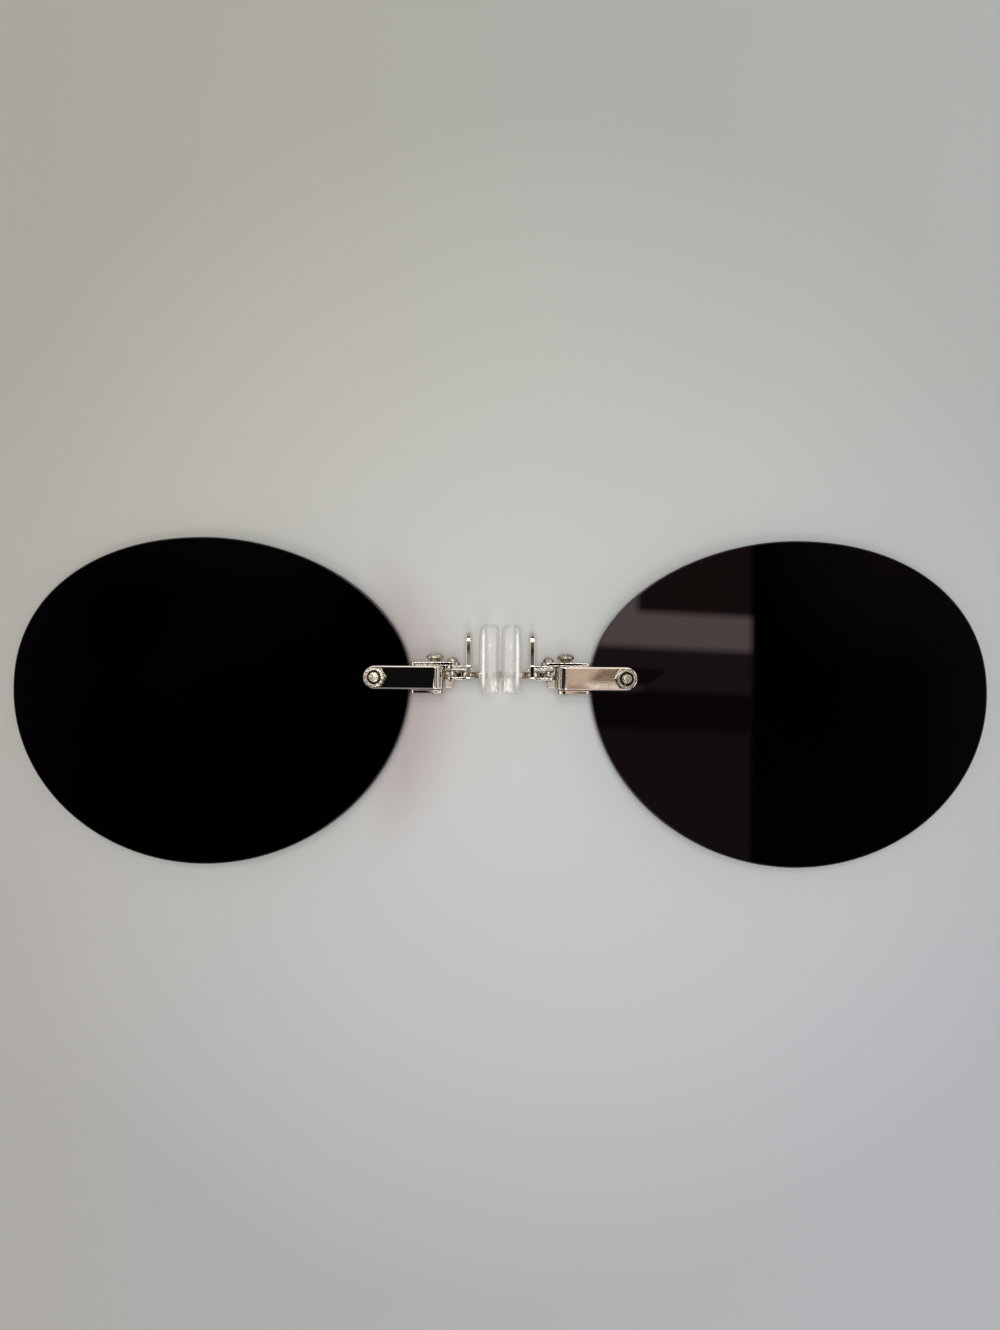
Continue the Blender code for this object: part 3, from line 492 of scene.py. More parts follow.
# A flat plate between hole and outline. Each ring is hole + (outline - hole) * share at one
# level, and the rims are quarter arcs: inset = r (1 - sin t), rise = r (1 - cos t)
def lensSurface(shape):
    outline = lensOutline(shape)
    middle = np.array([holeX, 0.0])
    far = np.linalg.norm(outline - middle, axis=1)
    ray = (outline - middle) / far[:, None]
    step = np.roll(outline, -1, 0) - np.roll(outline, 1, 0)
    inward = np.stack([-step[:, 1], step[:, 0]], -1) / np.linalg.norm(step, axis=1)[:, None]
    soft, bore = shape.edgeRound, shape.holeRound
    rings = []
    for level, facing in ((lensFront, 1), (lensBack, -1)):
        start, end = shape.holeRadius + bore, far - soft - shape.faceMargin
        reaches = [(start + (end - start) * share)[:, None] for share in shape.shares]
        face = [(middle + ray * reach, level, 0.0) for reach in reaches]
        face.append((outline + inward * (soft + shape.rimMargin), level, 0.0))
        for angle, wear in zip(np.linspace(0, pi / 2, len(shape.edgeWear)), shape.edgeWear):
            edge = outline + inward * soft * (1 - sin(angle))
            face.append((edge, level + facing * soft * (1 - cos(angle)), wear))
        rings += face if facing > 0 else face[::-1]
    mouths = ((lensBack, -1, np.linspace(0, pi / 2, 4)), (lensFront, 1, np.linspace(pi / 2, 0, 4)))
    for level, facing, angles in mouths:
        for angle in angles:
            radius = shape.holeRadius + bore * (1 - sin(angle))
            height = level + facing * bore * (1 - cos(angle))
            rings.append((middle + ray * radius, height, shape.holeWear))
    points = np.stack([np.column_stack([flat, np.full(len(flat), z)]) for flat, z, _ in rings])
    return points, np.array([wear for _, _, wear in rings])[:, None]


# One closed grid, with wear marked on the ground edge and round the hole
def makeLens(name):
    points, wear = lensSurface(lensShape)
    addPiece(name, "_dark_lens", "fold", [(points, True, True)], "glass", 30, "lens", [wear])


# Lens mounts: a strap with a round tip, and a barrel on the hinge screw
strapShape = Values(
    edge=0.22, bore=0.46, neckGap=0.08, tipSteps=14, runSteps=7, rollSteps=64, neckSteps=8,
    edgeSteps=6,
)


# Stations follow the outline: tip, back, barrel (R cos a, R sin a), front and tip again.
# Columns run across it, with quarter-round edges: inset = r (1 - cos t), depth = r (1 - sin t).
# The outermost columns fold in to the strap's middle line or to the barrel's bore.
def strapSurface(shape):
    back, front, half, soft = layout.strapBack, strapFront, layout.strapHalf, shape.edge
    turn = np.linspace(0, pi / 2, shape.edgeSteps)
    edge, flats = np.ones(shape.edgeSteps), np.array([-0.98, -0.5, 0.0, 0.5, 0.98])
    across = np.concatenate([[-1], -edge, flats, edge, [1]])
    leaving, falling = soft * (1 - np.cos(turn)), soft * (1 - np.sin(turn))
    inset = np.concatenate([[0], leaving, 0 * flats + soft, leaving[::-1], [0]])
    depth = np.concatenate([[0], falling, 0 * flats, falling[::-1], [0]])
    contact = asin(front / back)
    reach = back * cos(contact)
    sweep = np.linspace(pi / 2, 0, shape.tipSteps)
    run = np.linspace(holeX, reach + shape.neckGap, shape.runSteps)[1:]
    neck = np.linspace(1, 0, shape.neckSteps)[:-1]
    roll = np.linspace(pi / 2, 2 * pi + contact, shape.rollSteps)

    # A flat row of half width w: x = base + w sin t and y = across * w cos t, at one level
    def flatRows(sweep, base, level):
        x = base[:, None] + (half - inset) * np.sin(sweep)[:, None]
        y = across * (half - inset) * np.cos(sweep)[:, None]
        return np.stack([x, y, level + 0 * x], -1)

    turnsTop = np.concatenate([sweep, 0 * run])
    bases = np.concatenate([0 * sweep + holeX, run])
    upper = flatRows(turnsTop, bases, back - depth)
    lower = flatRows(turnsTop[::-1], bases[::-1], front + depth)
    for rows in (upper, lower):
        rows[:, [0, -1], 2] = (back + front) / 2
    neckRows = flatRows(0 * neck, neck * reach, back - depth)
    rollX, rollZ = (back - depth) * np.cos(roll)[:, None], (back - depth) * np.sin(roll)[:, None]
    rollRows = np.stack([rollX, across * (half - inset) + 0 * rollX, rollZ], -1)
    angles = np.concatenate([pi / 2 - neck * (pi / 2 - contact), roll])
    barrel = np.concatenate([neckRows, rollRows])
    barrel[:, [0, -1], 0] = shape.bore * np.cos(angles)[:, None]
    barrel[:, [0, -1], 2] = shape.bore * np.sin(angles)[:, None]
    return np.concatenate([upper, barrel, lower]), barrel[:, [0, -1]]


# The skin of the strap and barrel, and the wall of the barrel's bore
def makeStrap(name):
    skin, bore = strapSurface(strapShape)
    grids = [(skin, False, False), (bore, False, False)]
    addPiece(name, "_barrel_strap", "fold", grids, "plate", 36, "lens_mount")


# Lens screw, nut, sleeve and washers
lensScrew = Values(
    radius=0.7, headRadius=1.15, headHeight=0.55, end=0.3, slotWide=0.25, slotDeep=0.3, pitch=0.3,
    thread=0.07, play=0.01, fade=0.12, fadeThread=0.6, turns=48, rowsPerPitch=10, rootGap=0.05,
    crown=0.1, crownStart=0.97,
)
nutShape = Values(
    flats=2.5, thick=1.0, bore=0.72, lip=0.21, lipDeep=0.7, slope=0.55, footSlope=0.6, edge=0.03,
    step=0.01, mouth=0.05, foot=0.1, points=96,
)


# A screw thread: r = R - depth * triangle wave of (level / pitch - angle / 2 pi), which fades
# to a plain shank at its upper end
def threadedShank(low, high, shape):
    angle = circle(shape.turns)
    level = np.linspace(low, high, int((high - low) / shape.pitch * shape.rowsPerPitch))[:, None]
    phase = (level / shape.pitch - angle / (2 * pi)) % 1.0
    near = np.clip((high - level) / shape.fade, 0, 1)
    wave = np.abs(2 * phase - 1) * near + shape.fadeThread * (1 - near)
    radius = shape.radius - shape.play - shape.thread * wave
    return np.stack([radius * np.cos(angle), radius * np.sin(angle), level + 0 * angle], -1)


# A threaded shank whose end is a crown, h sqrt(1 - s^2) high at s times its radius, and a
# slotted head that sits on the front washer
def makeLensScrew(name):
    shape = lensScrew
    seat = lensFront - 2 * layout.seatGap - layout.washerThick
    root = seat + shape.rootGap
    top = layout.strapBack + layout.seatGap + nutShape.thick + shape.end
    centre = np.array([holeX, 0, 0])
    rim = np.array([0, 0, top - shape.crown])
    thread = threadedShank(root, rim[2], shape)
    start = np.broadcast_to([0, 0, root], thread[0].shape)
    share = np.linspace(shape.crownStart, 0, 7)[:, None, None]
    crown = (thread[-1] - rim)[None] * share
    crown[..., 2] = shape.crown * np.sqrt(1 - share[..., 0] ** 2)
    shank = np.concatenate([start[None], thread, crown + rim]) + centre
    size, slot = shape.headRadius, shape.slotWide
    head = slottedDome(size, -seat, shape.headHeight, slot, shape.slotDeep, "Z", centre, -1)
    under = chordRings([(size, -seat), (0.0, -seat)], size, slot, "Z", centre, -1)
    grids = [(shank, False, True), (head, False, False), (under, False, True)]
    addPiece(name, "_threaded_screw", "fold", grids, "turned", 35, "lens_screw")


# Rings about the nut's axis: hexagon = flat / cos a from its flats to its corners, which a
# cone of the given slope cuts, and a funnel leads into the bore
def nutSurface(shape):
    angle = circle(shape.points) + pi / 6
    flat, bore, lip = shape.flats / 2, shape.bore, shape.lip
    hexagon = flat / np.cos(angle % (pi / 3) - pi / 6)
    low = layout.strapBack + layout.seatGap
    high = low + shape.thick
    edge, step, mouth, foot = shape.edge, shape.step, shape.mouth, shape.foot
    ring = flat - edge
    cone = (hexagon - ring) * shape.slope
    rise = cone * shape.footSlope
    rows = [
        (bore, low + foot), (bore, high - shape.lipDeep), (bore + lip * 0.8, high - mouth),
        (bore + lip, high), (ring - 2 * edge, high), (ring, high - step),
        (hexagon - edge, high - cone + step), (hexagon, high - cone - edge),
        (hexagon, low + rise + mouth), (hexagon - edge, low + rise + 2 * step),
        (ring, low + step), (ring - 2 * edge, low), (bore + foot, low),
    ]
    radius, level = (np.array([row[part] + 0 * angle for row in rows]) for part in (0, 1))
    return np.stack([holeX + radius * np.cos(angle), radius * np.sin(angle), level], -1)


# How much painted shade each of the nut's rings gets, in the order of its rows: it darkens the
# funnel, the corners and the foot, where shade falls
nutPaintedShade = np.array([1, 1, 0.6, 0.1, 0, 0.1, 0.8, 1, 1, 1, 1, 0.5, 0.5])[:, None]


# The nut is one closed ring of faces, with painted shade in its funnel and along its foot
def makeNut(name):
    grid = (nutSurface(nutShape), True, True)
    addPiece(name, "_hex_nut", "fold", [grid], "turned", 28, "lens_nut", [nutPaintedShade])


ringShape = Values(bore=0.74, sleeve=1.04, sleeveRound=0.04, washer=1.45, washerRound=0.06)


# The closed profile of a washer or sleeve with rounded outer corners
def ringProfile(inner, outer, low, high, soft):
    return (
        [(inner, low), (outer - soft * 2, low)]
        + cornerArc(outer - soft, low + soft, soft, -90, 0)
        + cornerArc(outer - soft, high - soft, soft, 0, 90)
        + [(outer - soft * 2, high), (inner, high)]
    )


# A sleeve in the lens's hole, and a washer on each side of the lens
def makeClearRings(name):
    bore, thick = ringShape.bore, layout.washerThick
    sleeve = ringShape.sleeve, ringShape.sleeveRound
    washer = ringShape.washer, ringShape.washerRound
    back, front = lensBack + layout.seatGap, lensFront - layout.seatGap
    rings = {
        "lens_bush": ("_clear_sleeve", lensFront, lensBack, sleeve),
        "back_washer": ("_back_seat", back, back + thick, washer),
        "front_washer": ("_front_seat", front - thick, front, washer),
    }
    for part, (ending, low, high, (outer, soft)) in rings.items():
        profile = ringProfile(bore, outer, low, high, soft)
        grid = (spun(profile, "Z", (holeX, 0, 0), 64), True, True)
        addPiece(name, ending, "fold", [grid], "nylon", 35, part)


# Hinge screws and pivot pins
hingeScrew = Values(
    radius=0.42, neck=0.6, neckEdge=0.05, head=1.15, flare=0.5, rim=0.06, dome=0.6, underHead=2.05,
    end=-2.14, endBevel=0.1, slotWide=0.25, slotDeep=0.3,
)
pivotPin = Values(
    radius=0.35, head=0.72, headTall=0.7, headEdge=0.05, end=0.5, endTall=0.3, underHead=2.05,
    underEnd=-0.28, fillet=0.03,
)


# The head flares as r = neck + (head - neck) s^2 while it rises by s, then a rim and a dome
def makeHingeScrew(name):
    shape = hingeScrew
    radius, neck, head = shape.radius, shape.neck, shape.head
    under, end = shape.underHead, shape.end
    centre = (layout.hingeX, 0, 0)
    rim, bevel = under + shape.flare + shape.rim, shape.endBevel
    share = np.linspace(0, 1, 9)
    profile = [(0, end), (radius - bevel, end), (radius - 0.03, end + 0.03), (radius, end + bevel)]
    profile += [(radius, under - 0.01), (neck - shape.neckEdge, under)]
    profile += list(zip(neck + (head - neck) * share**2, under + shape.flare * share)) + [(head, rim)]
    body = chordRings(profile, head, shape.slotWide, "Y", centre)
    top = slottedDome(head, rim, shape.dome, shape.slotWide, shape.slotDeep, "Y", centre)
    grids = [(body, False, True), (top, False, False)]
    addPiece(name, "_slotted_screw", "bridge", grids, "turned", 38, "hinge_screw")


# A domed head above, a plain shank, and a riveted end below, as one turned profile
def makePivotPin(name):
    shape = pivotPin
    radius, head, under, low = shape.radius, shape.head, shape.underHead, shape.underEnd
    fillet = shape.fillet
    profile = [(r, low - z) for r, z in domeProfile(shape.end, 0, shape.endTall)[::-1]]
    profile += [(radius + 0.02, low), (radius, low + fillet)]
    profile += [(radius, under - fillet), (radius + fillet, under), (head - shape.headEdge, under)]
    profile += domeProfile(head, under + fillet, shape.headTall - fillet, 12)
    grid = (spun(profile, "Y", (layout.pivotX, 0, 0)), False, True)
    addPiece(name, "_domed_pin", "bridge", [grid], "turned", 38, "pivot_pin")


# Torsion springs
springShape = Values(
    wire=0.1, coil=0.72, turns=1.25, low=0.2, top=1.08, legFar=-2.625, socket=-1.82,
)


# A leg along Z, a helix (R cos a, rising level, R sin a), then a leg along -X
def springPath(shape):
    leg = np.linspace(0, 1, 14, endpoint=False)[:, None]
    start = np.array([shape.coil, shape.low, shape.socket])
    knee = np.array([shape.coil, shape.low, 0])
    angle = np.linspace(0, 2 * pi * shape.turns, 70)
    level = shape.low + (shape.top - shape.low) * angle / angle[-1]
    coil = np.stack([shape.coil * np.cos(angle), level, shape.coil * np.sin(angle)], -1)
    far = np.array([shape.legFar, shape.top, coil[-1][2]])
    tail = coil[-1] + (far - coil[-1]) * np.linspace(0, 1, 16)[1:, None]
    return np.concatenate([start + (knee - start) * leg, coil, tail])


# A tube: each ring is path + radius (cos a * side + sin a * up), kept square to the path
def wireAlong(path, radius, around=12):
    along = np.gradient(path, axis=0)
    along /= np.linalg.norm(along, axis=1)[:, None]
    across = np.cross(along, np.array([0.0, 1.0, 0.0]))
    across /= np.linalg.norm(across, axis=1)[:, None]
    lift = np.cross(across, along)
    angle = circle(around)[None, :, None]
    return path[:, None] + radius * (np.cos(angle) * across[:, None] + np.sin(angle) * lift[:, None])


# The wire as one tube round the pivot, baked in place; it doesn't ride on the bridge or the lever
def makeSpring(name):
    shape = springShape
    points = closedEnds(wireAlong(springPath(shape), shape.wire))
    material, slot = finishes["steel"]
    side = sides[name]
    piece = makePiece(name + "_coil_spring", "lever", side, [(points, False, True)], material, 50)
    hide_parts(name + "_spring")
    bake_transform(piece)


# Guard arms, guard plates and rivets
armShape = Values(
    thick=0.45, tall=1.0, corner=0.09, rivetBack=1.15, tailBack=1.7, plateThick=0.55, endRound=0.3,
)
guardShape = Values(height=7.9, depth=4.0, corner=1.2, thick=0.4, edge=0.12)


# The arm's middle line about the pivot axis: along the tail, then over to the guard plate
def armPath():
    shape, splay = armShape, radians(layout.guardSplay)
    gap = layout.seatGap + shape.thick / 2
    base = layout.plateX - layout.pivotX - shape.plateThick / 2 - gap
    away = guardShape.thick / 2 + gap
    seatX = layout.guardX - layout.pivotX + away * cos(splay)
    seatZ = layout.guardBack - away * sin(splay)
    reach, bend = shape.tall * 0.7, shape.tailBack + 0.1
    back = (seatX + reach * sin(splay), seatZ + reach * cos(splay))
    front = (seatX - reach * sin(splay), seatZ - reach * cos(splay))
    return [
        (base, shape.rivetBack - shape.tall / 2), (base, bend),
        (base * 0.75 + front[0] * 0.25, bend + 0.55),
        (base * 0.15 + front[0] * 0.85, front[1] - 0.5), front, back,
    ]


# The strip's ends are rounded: half height = h sqrt(1 - (1 - s)^2), s from the nearer end
def makeGuardArm(name):
    shape = armShape
    path = softened(armPath())
    gone = np.concatenate([[0], np.cumsum(np.linalg.norm(np.diff(path, axis=0), axis=1))])
    near = np.clip((np.minimum(gone, gone[-1] - gone) + 0.02) / shape.endRound, 0, 1)
    tall = shape.tall / 2 * np.sqrt(np.clip(1 - (1 - near) ** 2, 0.05, 1))
    points = closedEnds(bentStrip(path, shape.thick / 2, tall, shape.corner))
    points = points + (0, layout.armMiddle, 0)
    addPiece(name, "_bent_arm", "lever", [(points, False, True)], "plate", 40, "guard_arm")


# A flat plate in Y and Z: a round-cornered outline shrunk to the middle on both faces, with
# edges rounded by inset = r (1 - sin t) and rise = r (1 - cos t)
def roundedPlate(shape, around=96):
    thick, edge, corner = shape.thick, shape.edge, shape.corner
    angle = circle(around)
    normal = np.stack([np.cos(angle), np.sin(angle)], -1)
    core = np.sign(normal) * (shape.height / 2 - corner, shape.depth / 2 - corner)
    core[np.abs(normal) < 1e-6] = 0
    rows = [(0.0, -thick / 2, 0), (0.55, -thick / 2, 0), (0.97, -thick / 2, edge)]
    for turn in np.linspace(0, pi / 2, 6):
        rows.append((1.0, -thick / 2 + edge * (1 - cos(turn)), edge * (1 - sin(turn))))
    rows += [(share, -x, inset) for share, x, inset in rows[::-1]]
    flat = [core * share + normal * (corner * share - inset * (share > 0)) for share, _, inset in rows]
    return np.array([np.column_stack([np.full(around, x), yz]) for (_, x, _), yz in zip(rows, flat)])


# The metal core that shows through the pad
def makeGuardPlate(name):
    grid = (roundedPlate(guardShape), False, True)
    addPiece(name, "_pad_core", "guard", [grid], "core", 35, "guard_plate")


rivetShapes = {
    "arm": Values(
        radius=0.25, head=0.45, tall=0.4, inner=-0.765, outer=0.295, tail=0.38, tailTall=0.24,
    ),
    "guard": Values(
        radius=0.22, head=0.42, tall=0.22, inner=-0.22, outer=0.69, tail=0.42, tailTall=0.22,
    ),
}


# Two domed heads on a plain shank, as (radius, level)
def rivetProfile(shape):
    tail = [(r, shape.inner - z) for r, z in domeProfile(shape.tail, 0, shape.tailTall)[::-1]]
    shank = [(shape.radius, shape.inner + 0.01), (shape.radius, shape.outer - 0.01)]
    return tail + shank + domeProfile(shape.head, shape.outer, shape.tall, 12)


# One rivet through the lever's tail and one through the guard plate, both along X
def makeRivets(name):
    tailPlace = (layout.plateX - layout.pivotX, layout.armMiddle, armShape.rivetBack)
    places = {
        "arm": ("_tail_rivet", "lever", tailPlace),
        "guard": ("_core_rivet", "guard", (0, layout.armMiddle - layout.guardRise, 0)),
    }
    for key, (ending, home, centre) in places.items():
        grid = (spun(rivetProfile(rivetShapes[key]), "X", centre, 40), False, True)
        addPiece(name, ending, home, [grid], "plate", 38, key + "_rivet")


# Pads
padShape = Values(
    height=9.0, depth=5.6, fullness=2.7, face=-1.72, outer=0.5, rim=0.4, crown=0.05, around=112,
)


# A superellipse outline in Y and Z, shrunk in rings: x = face + crown * s^2 on the nose face,
# then two quarter ellipses to the outer face: x = middle + half cos t, inset = rim (1 - sin t)
def padSurface(shape):
    angle = circle(shape.around)
    power = 2 / shape.fullness
    up = np.sign(np.cos(angle)) * np.abs(np.cos(angle)) ** power
    deep = np.sign(np.sin(angle)) * np.abs(np.sin(angle)) ** power
    rows = [(s, shape.face + shape.crown * s**2, 0) for s in (0, 0.15, 0.35, 0.55, 0.72, 0.84)]
    rim, face = shape.rim, shape.face + shape.crown
    middle = (face + shape.outer) / 2
    half = middle - face
    turns = np.linspace(pi - 0.12, 0, 26)
    rows += [(1.0, middle + half * cos(turn), rim * (1 - sin(turn))) for turn in turns]
    rows += [(s, shape.outer, 0) for s in (0.8, 0.5, 0.2, 0)]
    share, x, inset = (column[:, None] for column in np.array(rows, float).T)
    tall = up * (shape.height / 2 - inset) * share
    wide = deep * (shape.depth / 2 - inset) * share
    return np.stack([x + 0 * tall, tall, wide], -1)


# A clear pad round the metal core, which casts no shadow
def makePad(name):
    grid = (padSurface(padShape), False, True)
    piece = addPiece(name, "_clear_pad", "guard", [grid], "silicone", 60, "pad")
    piece.visible_shadow = False  # so the table under it stays bright


for name in sides:
    for make in (
        makeLens, makeStrap, makeLensScrew, makeNut, makeClearRings, makeHingeScrew, makePivotPin,
        makeSpring, makeGuardArm, makeGuardPlate, makeRivets, makePad,
    ):
        make(name)
    print(name, "side made")

# The bridge and the levers keep their solids, merged and with rounded edges
edgeLook = {"bridge": 0.06, "right_lever": 0.1, "left_lever": 0.1}
for name, width in edgeLook.items():
    piece = nodes[name]
    piece.data.materials.clear()
    piece.data.materials.append(finishes["folded"][0])
    weld = piece.modifiers.new("merged", "WELD")
    weld.merge_threshold = mergeReach
    soft = piece.modifiers.new("softEdges", "BEVEL")
    soft.width = width * mm
    soft.segments = 3
    soft.limit_method = "ANGLE"
    soft.angle_limit = radians(40)
    soft.harden_normals = True
print("edges rounded")

# Floor, light and camera
# Floor tones, with a painted fall-off of the light, a painted uneven tint of the light and a painted
# rosy shadow beside one lens
floorLook = Values(
    size=3.0, drop=0.00004, rough=0.85, shine=0.1, near=0.63, middle=0.557, rim=0.462,
    nearReach=0.01, middleReach=0.045, rimReach=0.08, left=(0.872, 0.846, 0.81),
    right=(0.935, 0.963, 1.0), across=0.06, low=(0.945, 0.945, 0.957), high=(0.92, 0.912, 0.845),
    along=0.045, glow=(0.87, 0.78, 0.79), glowPlace=(0.038, 0.0, 0.0),
    glowReach=(0.0262, 0.0214, 1.0), glowRim=(1.05, 1.32), glowSide=(-0.018, -0.0125),
)


# Multiplies two colours: red by red, green by green and blue by blue
def times(tree, first, second):
    made = node(tree, "Mix", data_type="RGBA", blend_type="MULTIPLY")
    made.inputs[0].default_value = 1.0
    tree.links.new(first, made.inputs[6])
    tree.links.new(second, made.inputs[7])
    return made.outputs[2]


# A plain pale sheet. Its tone falls off gently with sqrt(x^2 + y^2), a painted fall-off of the light,
# and is a little warmer on one side and towards the top, painted unevenness of the light. Beside the
# inner edge of one lens it has a faint painted rosy shadow.
def makeFloor(look):
    half, drop = look.size / 2, -look.drop
    mesh = bpy.data.meshes.new("pale_floor")
    corners = [(-half, -half, drop), (half, -half, drop), (half, half, drop), (-half, half, drop)]
    mesh.from_pydata(corners, [], [(0, 1, 2, 3)])
    material, tree, shader = newTree("paleFloor")
    place = objectPlace(tree)
    away = node(tree, "VectorMath", {0: place}, operation="LENGTH").outputs["Value"]
    # Painted fall-off of the light: the floor is lighter near the middle and darker outwards
    inner = spread(tree, away, look.nearReach, look.middleReach)
    outer = spread(tree, away, look.middleReach, look.rimReach)
    greys = [(grey,) * 3 for grey in (look.near, look.middle, look.rim)]
    tone = between(tree, outer, between(tree, inner, greys[0], greys[1]), greys[2])
    # Painted unevenness of the light: darker and warmer towards -X and towards the top, cooler towards
    # +X
    axes = node(tree, "SeparateXYZ", {0: place}).outputs
    sideways = spread(tree, axes["X"], -look.across, look.across)
    tone = times(tree, tone, between(tree, sideways, look.left, look.right))
    upwards = spread(tree, axes["Y"], -look.along, look.along)
    tone = times(tree, tone, between(tree, upwards, look.low, look.high))
    # Painted rosy shadow: inside an ellipse round the left lens, on its nose side only, the floor is
    # darkened pinkish
    moved = node(tree, "VectorMath", {0: place, 1: look.glowPlace}, operation="ADD").outputs[0]
    inputs = {0: moved, 1: look.glowReach}
    shrunk = node(tree, "VectorMath", inputs, operation="DIVIDE").outputs[0]
    rim = node(tree, "VectorMath", {0: shrunk}, operation="LENGTH").outputs["Value"]
    inward = spread(tree, axes["X"], *look.glowSide)
    rosyShadowShare = maths(tree, "MULTIPLY", spread(tree, rim, *look.glowRim, 1.0, 0.0), inward)
    tone = times(tree, tone, between(tree, rosyShadowShare, (1.0, 1.0, 1.0), look.glow))
    plain = {"Roughness": look.rough, "Specular IOR Level": look.shine}
    connect(tree, shader, {"Base Color": tone}, plain)
    mesh.materials.append(material)
    floor = bpy.data.objects.new("pale_floor", mesh)
    bpy.context.scene.collection.objects.link(floor)


# Patches of the ceiling as polished parts see it, the later ones over the earlier ones:
# (colour, u from, u to, v from, v to, softness, and for some how far u leans with v)
roomLook = Values(
    ambient=(0.33, 0.322, 0.3175), plain=(0.90, 0.89, 0.87), through=(0.62, 0.61, 0.595),
    horizon=0.02, tilt=0.04, tiltMiddle=0.2,
    patches=dict(
        leftWindow=((1.9, 1.87, 1.82), -9.0, -0.95, -1.6, 1.6, 0.1),
        rightWindow=((1.6, 1.58, 1.55), 0.95, 9.0, -1.6, 1.6, 0.1),
        farWindow=((1.5, 1.46, 1.4), -3.0, 3.0, 0.3, 4.0, 0.08),
        nearWall=((0.42, 0.41, 0.40), -2.0, 0.06, -3.0, -0.24, 0.03),
        darkCeiling=((0.008, 0.007, 0.008), -1.0, 0.42, -0.24, 0.2, 0.02),
        leftPurple=((0.13, 0.07, 0.12), -0.43, -0.35, -0.24, 0.2, 0.03),
        leftRosy=((0.20, 0.10, 0.14), -0.33, -0.2, 0.04, 0.2, 0.025),
        rightRosy=((0.27, 0.21, 0.27), 0.28, 0.42, 0.03, 0.2, 0.03),
        rightPurple=((0.30, 0.25, 0.30), 0.36, 0.42, -0.24, 0.2, 0.03),
        warmPanel=((0.53, 0.368, 0.284), 0.08, 0.2485, -0.2, 0.18, 0.0015),
        panelShade=((0.21, 0.145, 0.11), 0.08, 0.2485, -0.0307, -0.0113, 0.002),
        panelPale=((0.74, 0.60, 0.495), 0.08, 0.2485, -0.0113, 0.009, 0.002),
        panelLight=((6.2, 5.03, 4.4), 0.15, 0.2485, 0.009, 0.026, 0.002),
        panelCorner=((6.2, 5.03, 4.4), 0.12, 0.192, 0.02, 0.047, 0.002),
        strapPale=((0.74, 0.60, 0.495), 0.08, 0.19, -0.0134, -0.009, 0.0006),
        strapBrown=((0.28, 0.21, 0.155), 0.178, 0.2085, -0.0089, -0.0014, 0.0008, 1.2),
        strapLight=((1.1, 0.98, 0.90), 0.1795, 0.2085, -0.0129, -0.0098, 0.0006, 1.2),
        strapLine=((0.38, 0.24, 0.19), 0.15, 0.169, -0.0126, -0.0114, 0.0004),
        rightBox=((0.68, 0.68, 0.60), 0.0195, 0.05, -0.03, 0.015, 0.002),
        leftBox=((0.74, 0.70, 0.66), -0.05, -0.0195, -0.03, 0.015, 0.002),
        leftLever=((0.30, 0.285, 0.26), -0.0192, -0.011, -0.0132, 0.01, 0.0006),
        leftCheekLight=((2.2, 2.15, 2.05), -0.145, -0.07, -0.036, -0.0225, 0.001),
        leftCheekGrey=((0.5, 0.47, 0.44), -0.145, -0.03, -0.0118, -0.004, 0.001),
        rightCheekWarm=((0.8, 0.63, 0.5), 0.055, 0.15, -0.036, -0.0125, 0.002),
        rightCheekPale=((0.74, 0.60, 0.495), 0.055, 0.1, -0.0113, 0.009, 0.004),
        plateEndNear=((0.02, 0.02, 0.02), -0.05, 0.05, -0.75, -0.5, 0.02),
        plateEndFar=((0.07, 0.067, 0.064), -0.1, 0.1, 0.42, 1.3, 0.04),
        plateTip=((0.05, 0.048, 0.045), -0.06, 0.06, 1.3, 4.2, 0.04),
        leftPlate=((0.42, 0.40, 0.37), -0.04, 0.0, 0.28, 0.45, 0.004),
        rightPlate=((0.16, 0.15, 0.14), 0.0, 0.04, 0.28, 0.45, 0.004),
        plateSpot=((0.01, 0.01, 0.01), -0.04, 0.04, 0.3965, 0.3985, 0.001),
        plateFoot=((0.02, 0.02, 0.02), -0.04, 0.04, 0.38, 0.3845, 0.001),
        lowWall=((0.14, 0.13, 0.12), -9.0, 9.0, -60.0, -3.0, 0.6),
    ),
)


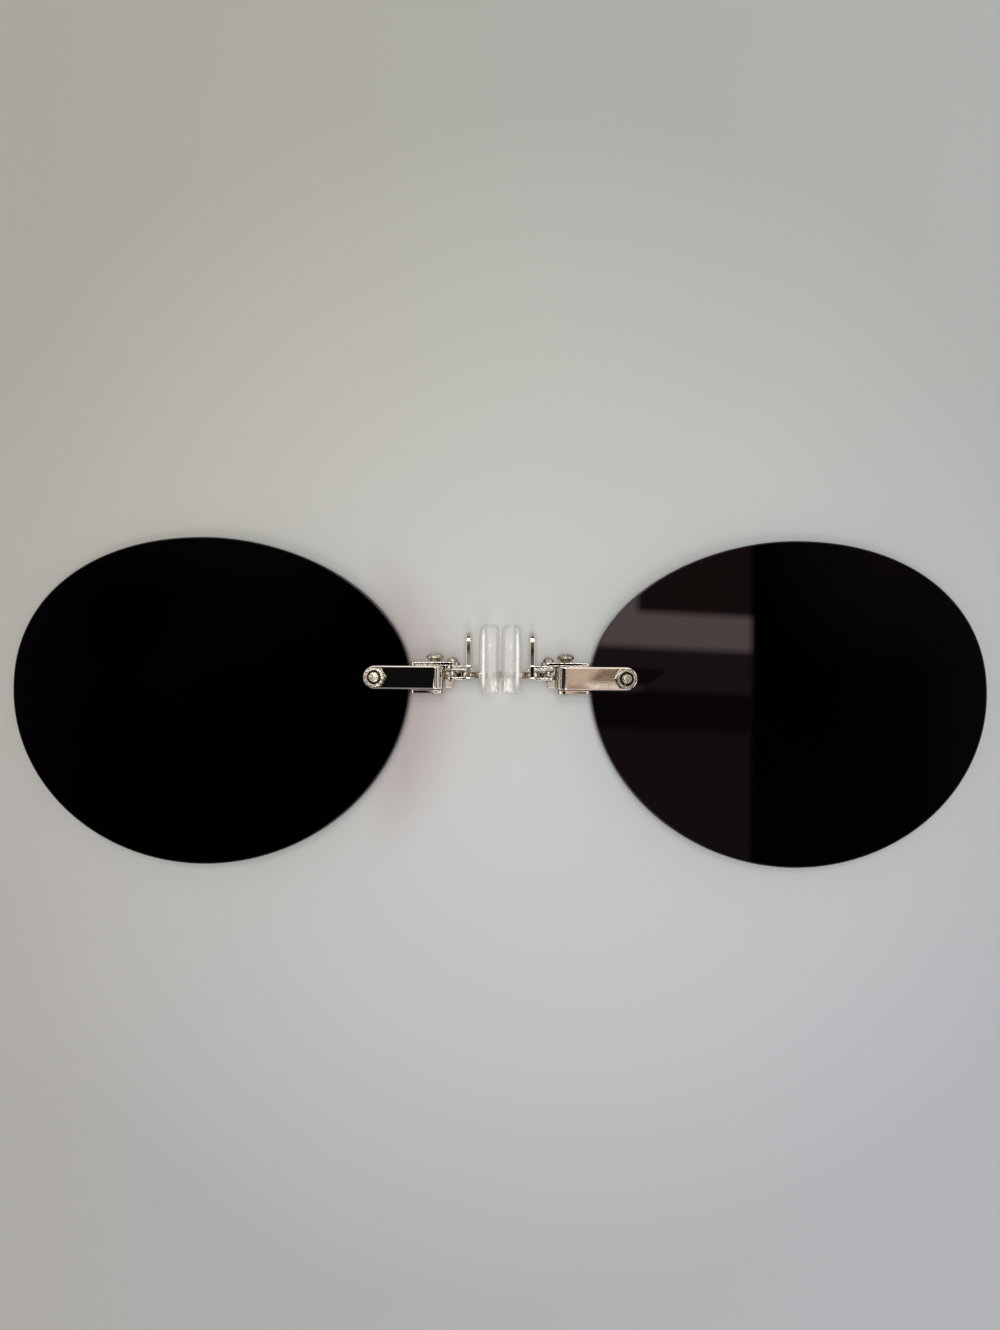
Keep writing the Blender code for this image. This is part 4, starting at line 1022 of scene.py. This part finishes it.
# Soft pale light all round. Polished parts also see a dark ceiling with a warm panel in it,
# laid out by u = x / z and v = y / z of the looked-at direction, where v has a slight tilt:
# v + tilt (u - middle). Rays that passed through a clear part see one plain tone.
def makeRoom(look):
    world = bpy.data.worlds.new("softRoom")
    bpy.context.scene.world = world
    world.use_nodes = True
    tree = world.node_tree
    shader = tree.nodes["Background"]
    facing = node(tree, "TexCoord").outputs["Generated"]
    axes = node(tree, "SeparateXYZ", {0: facing}).outputs
    height = maths(tree, "MAXIMUM", axes["Z"], look.horizon)
    u, v = maths(tree, "DIVIDE", axes["X"], height), maths(tree, "DIVIDE", axes["Y"], height)
    v = maths(tree, "MULTIPLY_ADD", maths(tree, "SUBTRACT", u, look.tiltMiddle), look.tilt, v)

    # 1 between low and high and 0 beyond them, with soft ends: rise * fall
    def inside(value, low, high, soft):
        rise = spread(tree, value, low - soft, low + soft)
        fall = spread(tree, value, high - soft, high + soft, 1.0, 0.0)
        return maths(tree, "MULTIPLY", rise, fall)

    ceiling = look.plain
    for colour, uLow, uHigh, vLow, vHigh, soft, *lean in look.patches.values():
        leant = maths(tree, "MULTIPLY_ADD", v, -lean[0], u) if lean else u
        cover = maths(tree, "MULTIPLY", inside(leant, uLow, uHigh, soft), inside(v, vLow, vHigh, soft))
        ceiling = between(tree, cover, ceiling, colour)
    path = node(tree, "LightPath").outputs
    through = spread(tree, path["Transmission Depth"], 0.2, 0.8)  # 1 from depth 1 on
    ceiling = between(tree, through, ceiling, look.through)
    light = between(tree, path["Is Glossy Ray"], look.ambient, ceiling)
    connect(tree, shader, {"Color": light}, {"Strength": 1.0})


lampLook = {
    "overhead": Values(place=(0.0, 0.005, 0.9), wide=0.22, deep=0.22, power=3.9, shows=False),
    "softKey": Values(place=(-0.02, 0.2, 0.88), wide=0.2, deep=0.18, power=1.4, shows=True),
    "softFill": Values(place=(0.02, -0.28, 0.85), wide=0.2, deep=0.24, power=1.1, shows=True),
}


# Broad lamps, turned to the origin: tilt = atan(side / height) about X, then about Z. The one
# above the middle isn't mirrored by the polished parts, which would turn them white.
def makeLamps(looks):
    for name, look in looks.items():
        data = bpy.data.lights.new(name, "AREA")
        data.shape = "ELLIPSE"
        data.size, data.size_y = look.wide, look.deep
        data.energy = look.power
        x, y, z = look.place
        lamp = bpy.data.objects.new(name, data)
        lamp.location = look.place
        lamp.rotation_euler = (atan2(hypot(x, y), z), 0, atan2(x, -y))
        lamp.visible_glossy = look.shows
        lamp.visible_transmission = False
        bpy.context.scene.collection.objects.link(lamp)


cameraLook = Values(
    lens=56.95, sensor=36.0, nearest=0.001, place=(-0.00005, 0.0049, 0.279), roll=0.4,
)


# Straight above the bridge and looking down, rolled by a few tenths of a degree
def makeCamera(look):
    data = bpy.data.cameras.new("overhead")
    data.lens = look.lens
    data.sensor_width = look.sensor
    data.clip_start = look.nearest
    camera = bpy.data.objects.new("overhead", data)
    camera.location = look.place
    camera.rotation_euler = (0, 0, radians(look.roll))
    bpy.context.scene.collection.objects.link(camera)
    bpy.context.scene.camera = camera


makeFloor(floorLook)
makeRoom(roomLook)
makeLamps(lampLook)
makeCamera(cameraLook)
bpy.context.scene.view_settings.view_transform = "Standard"
print("floor, light and camera made")
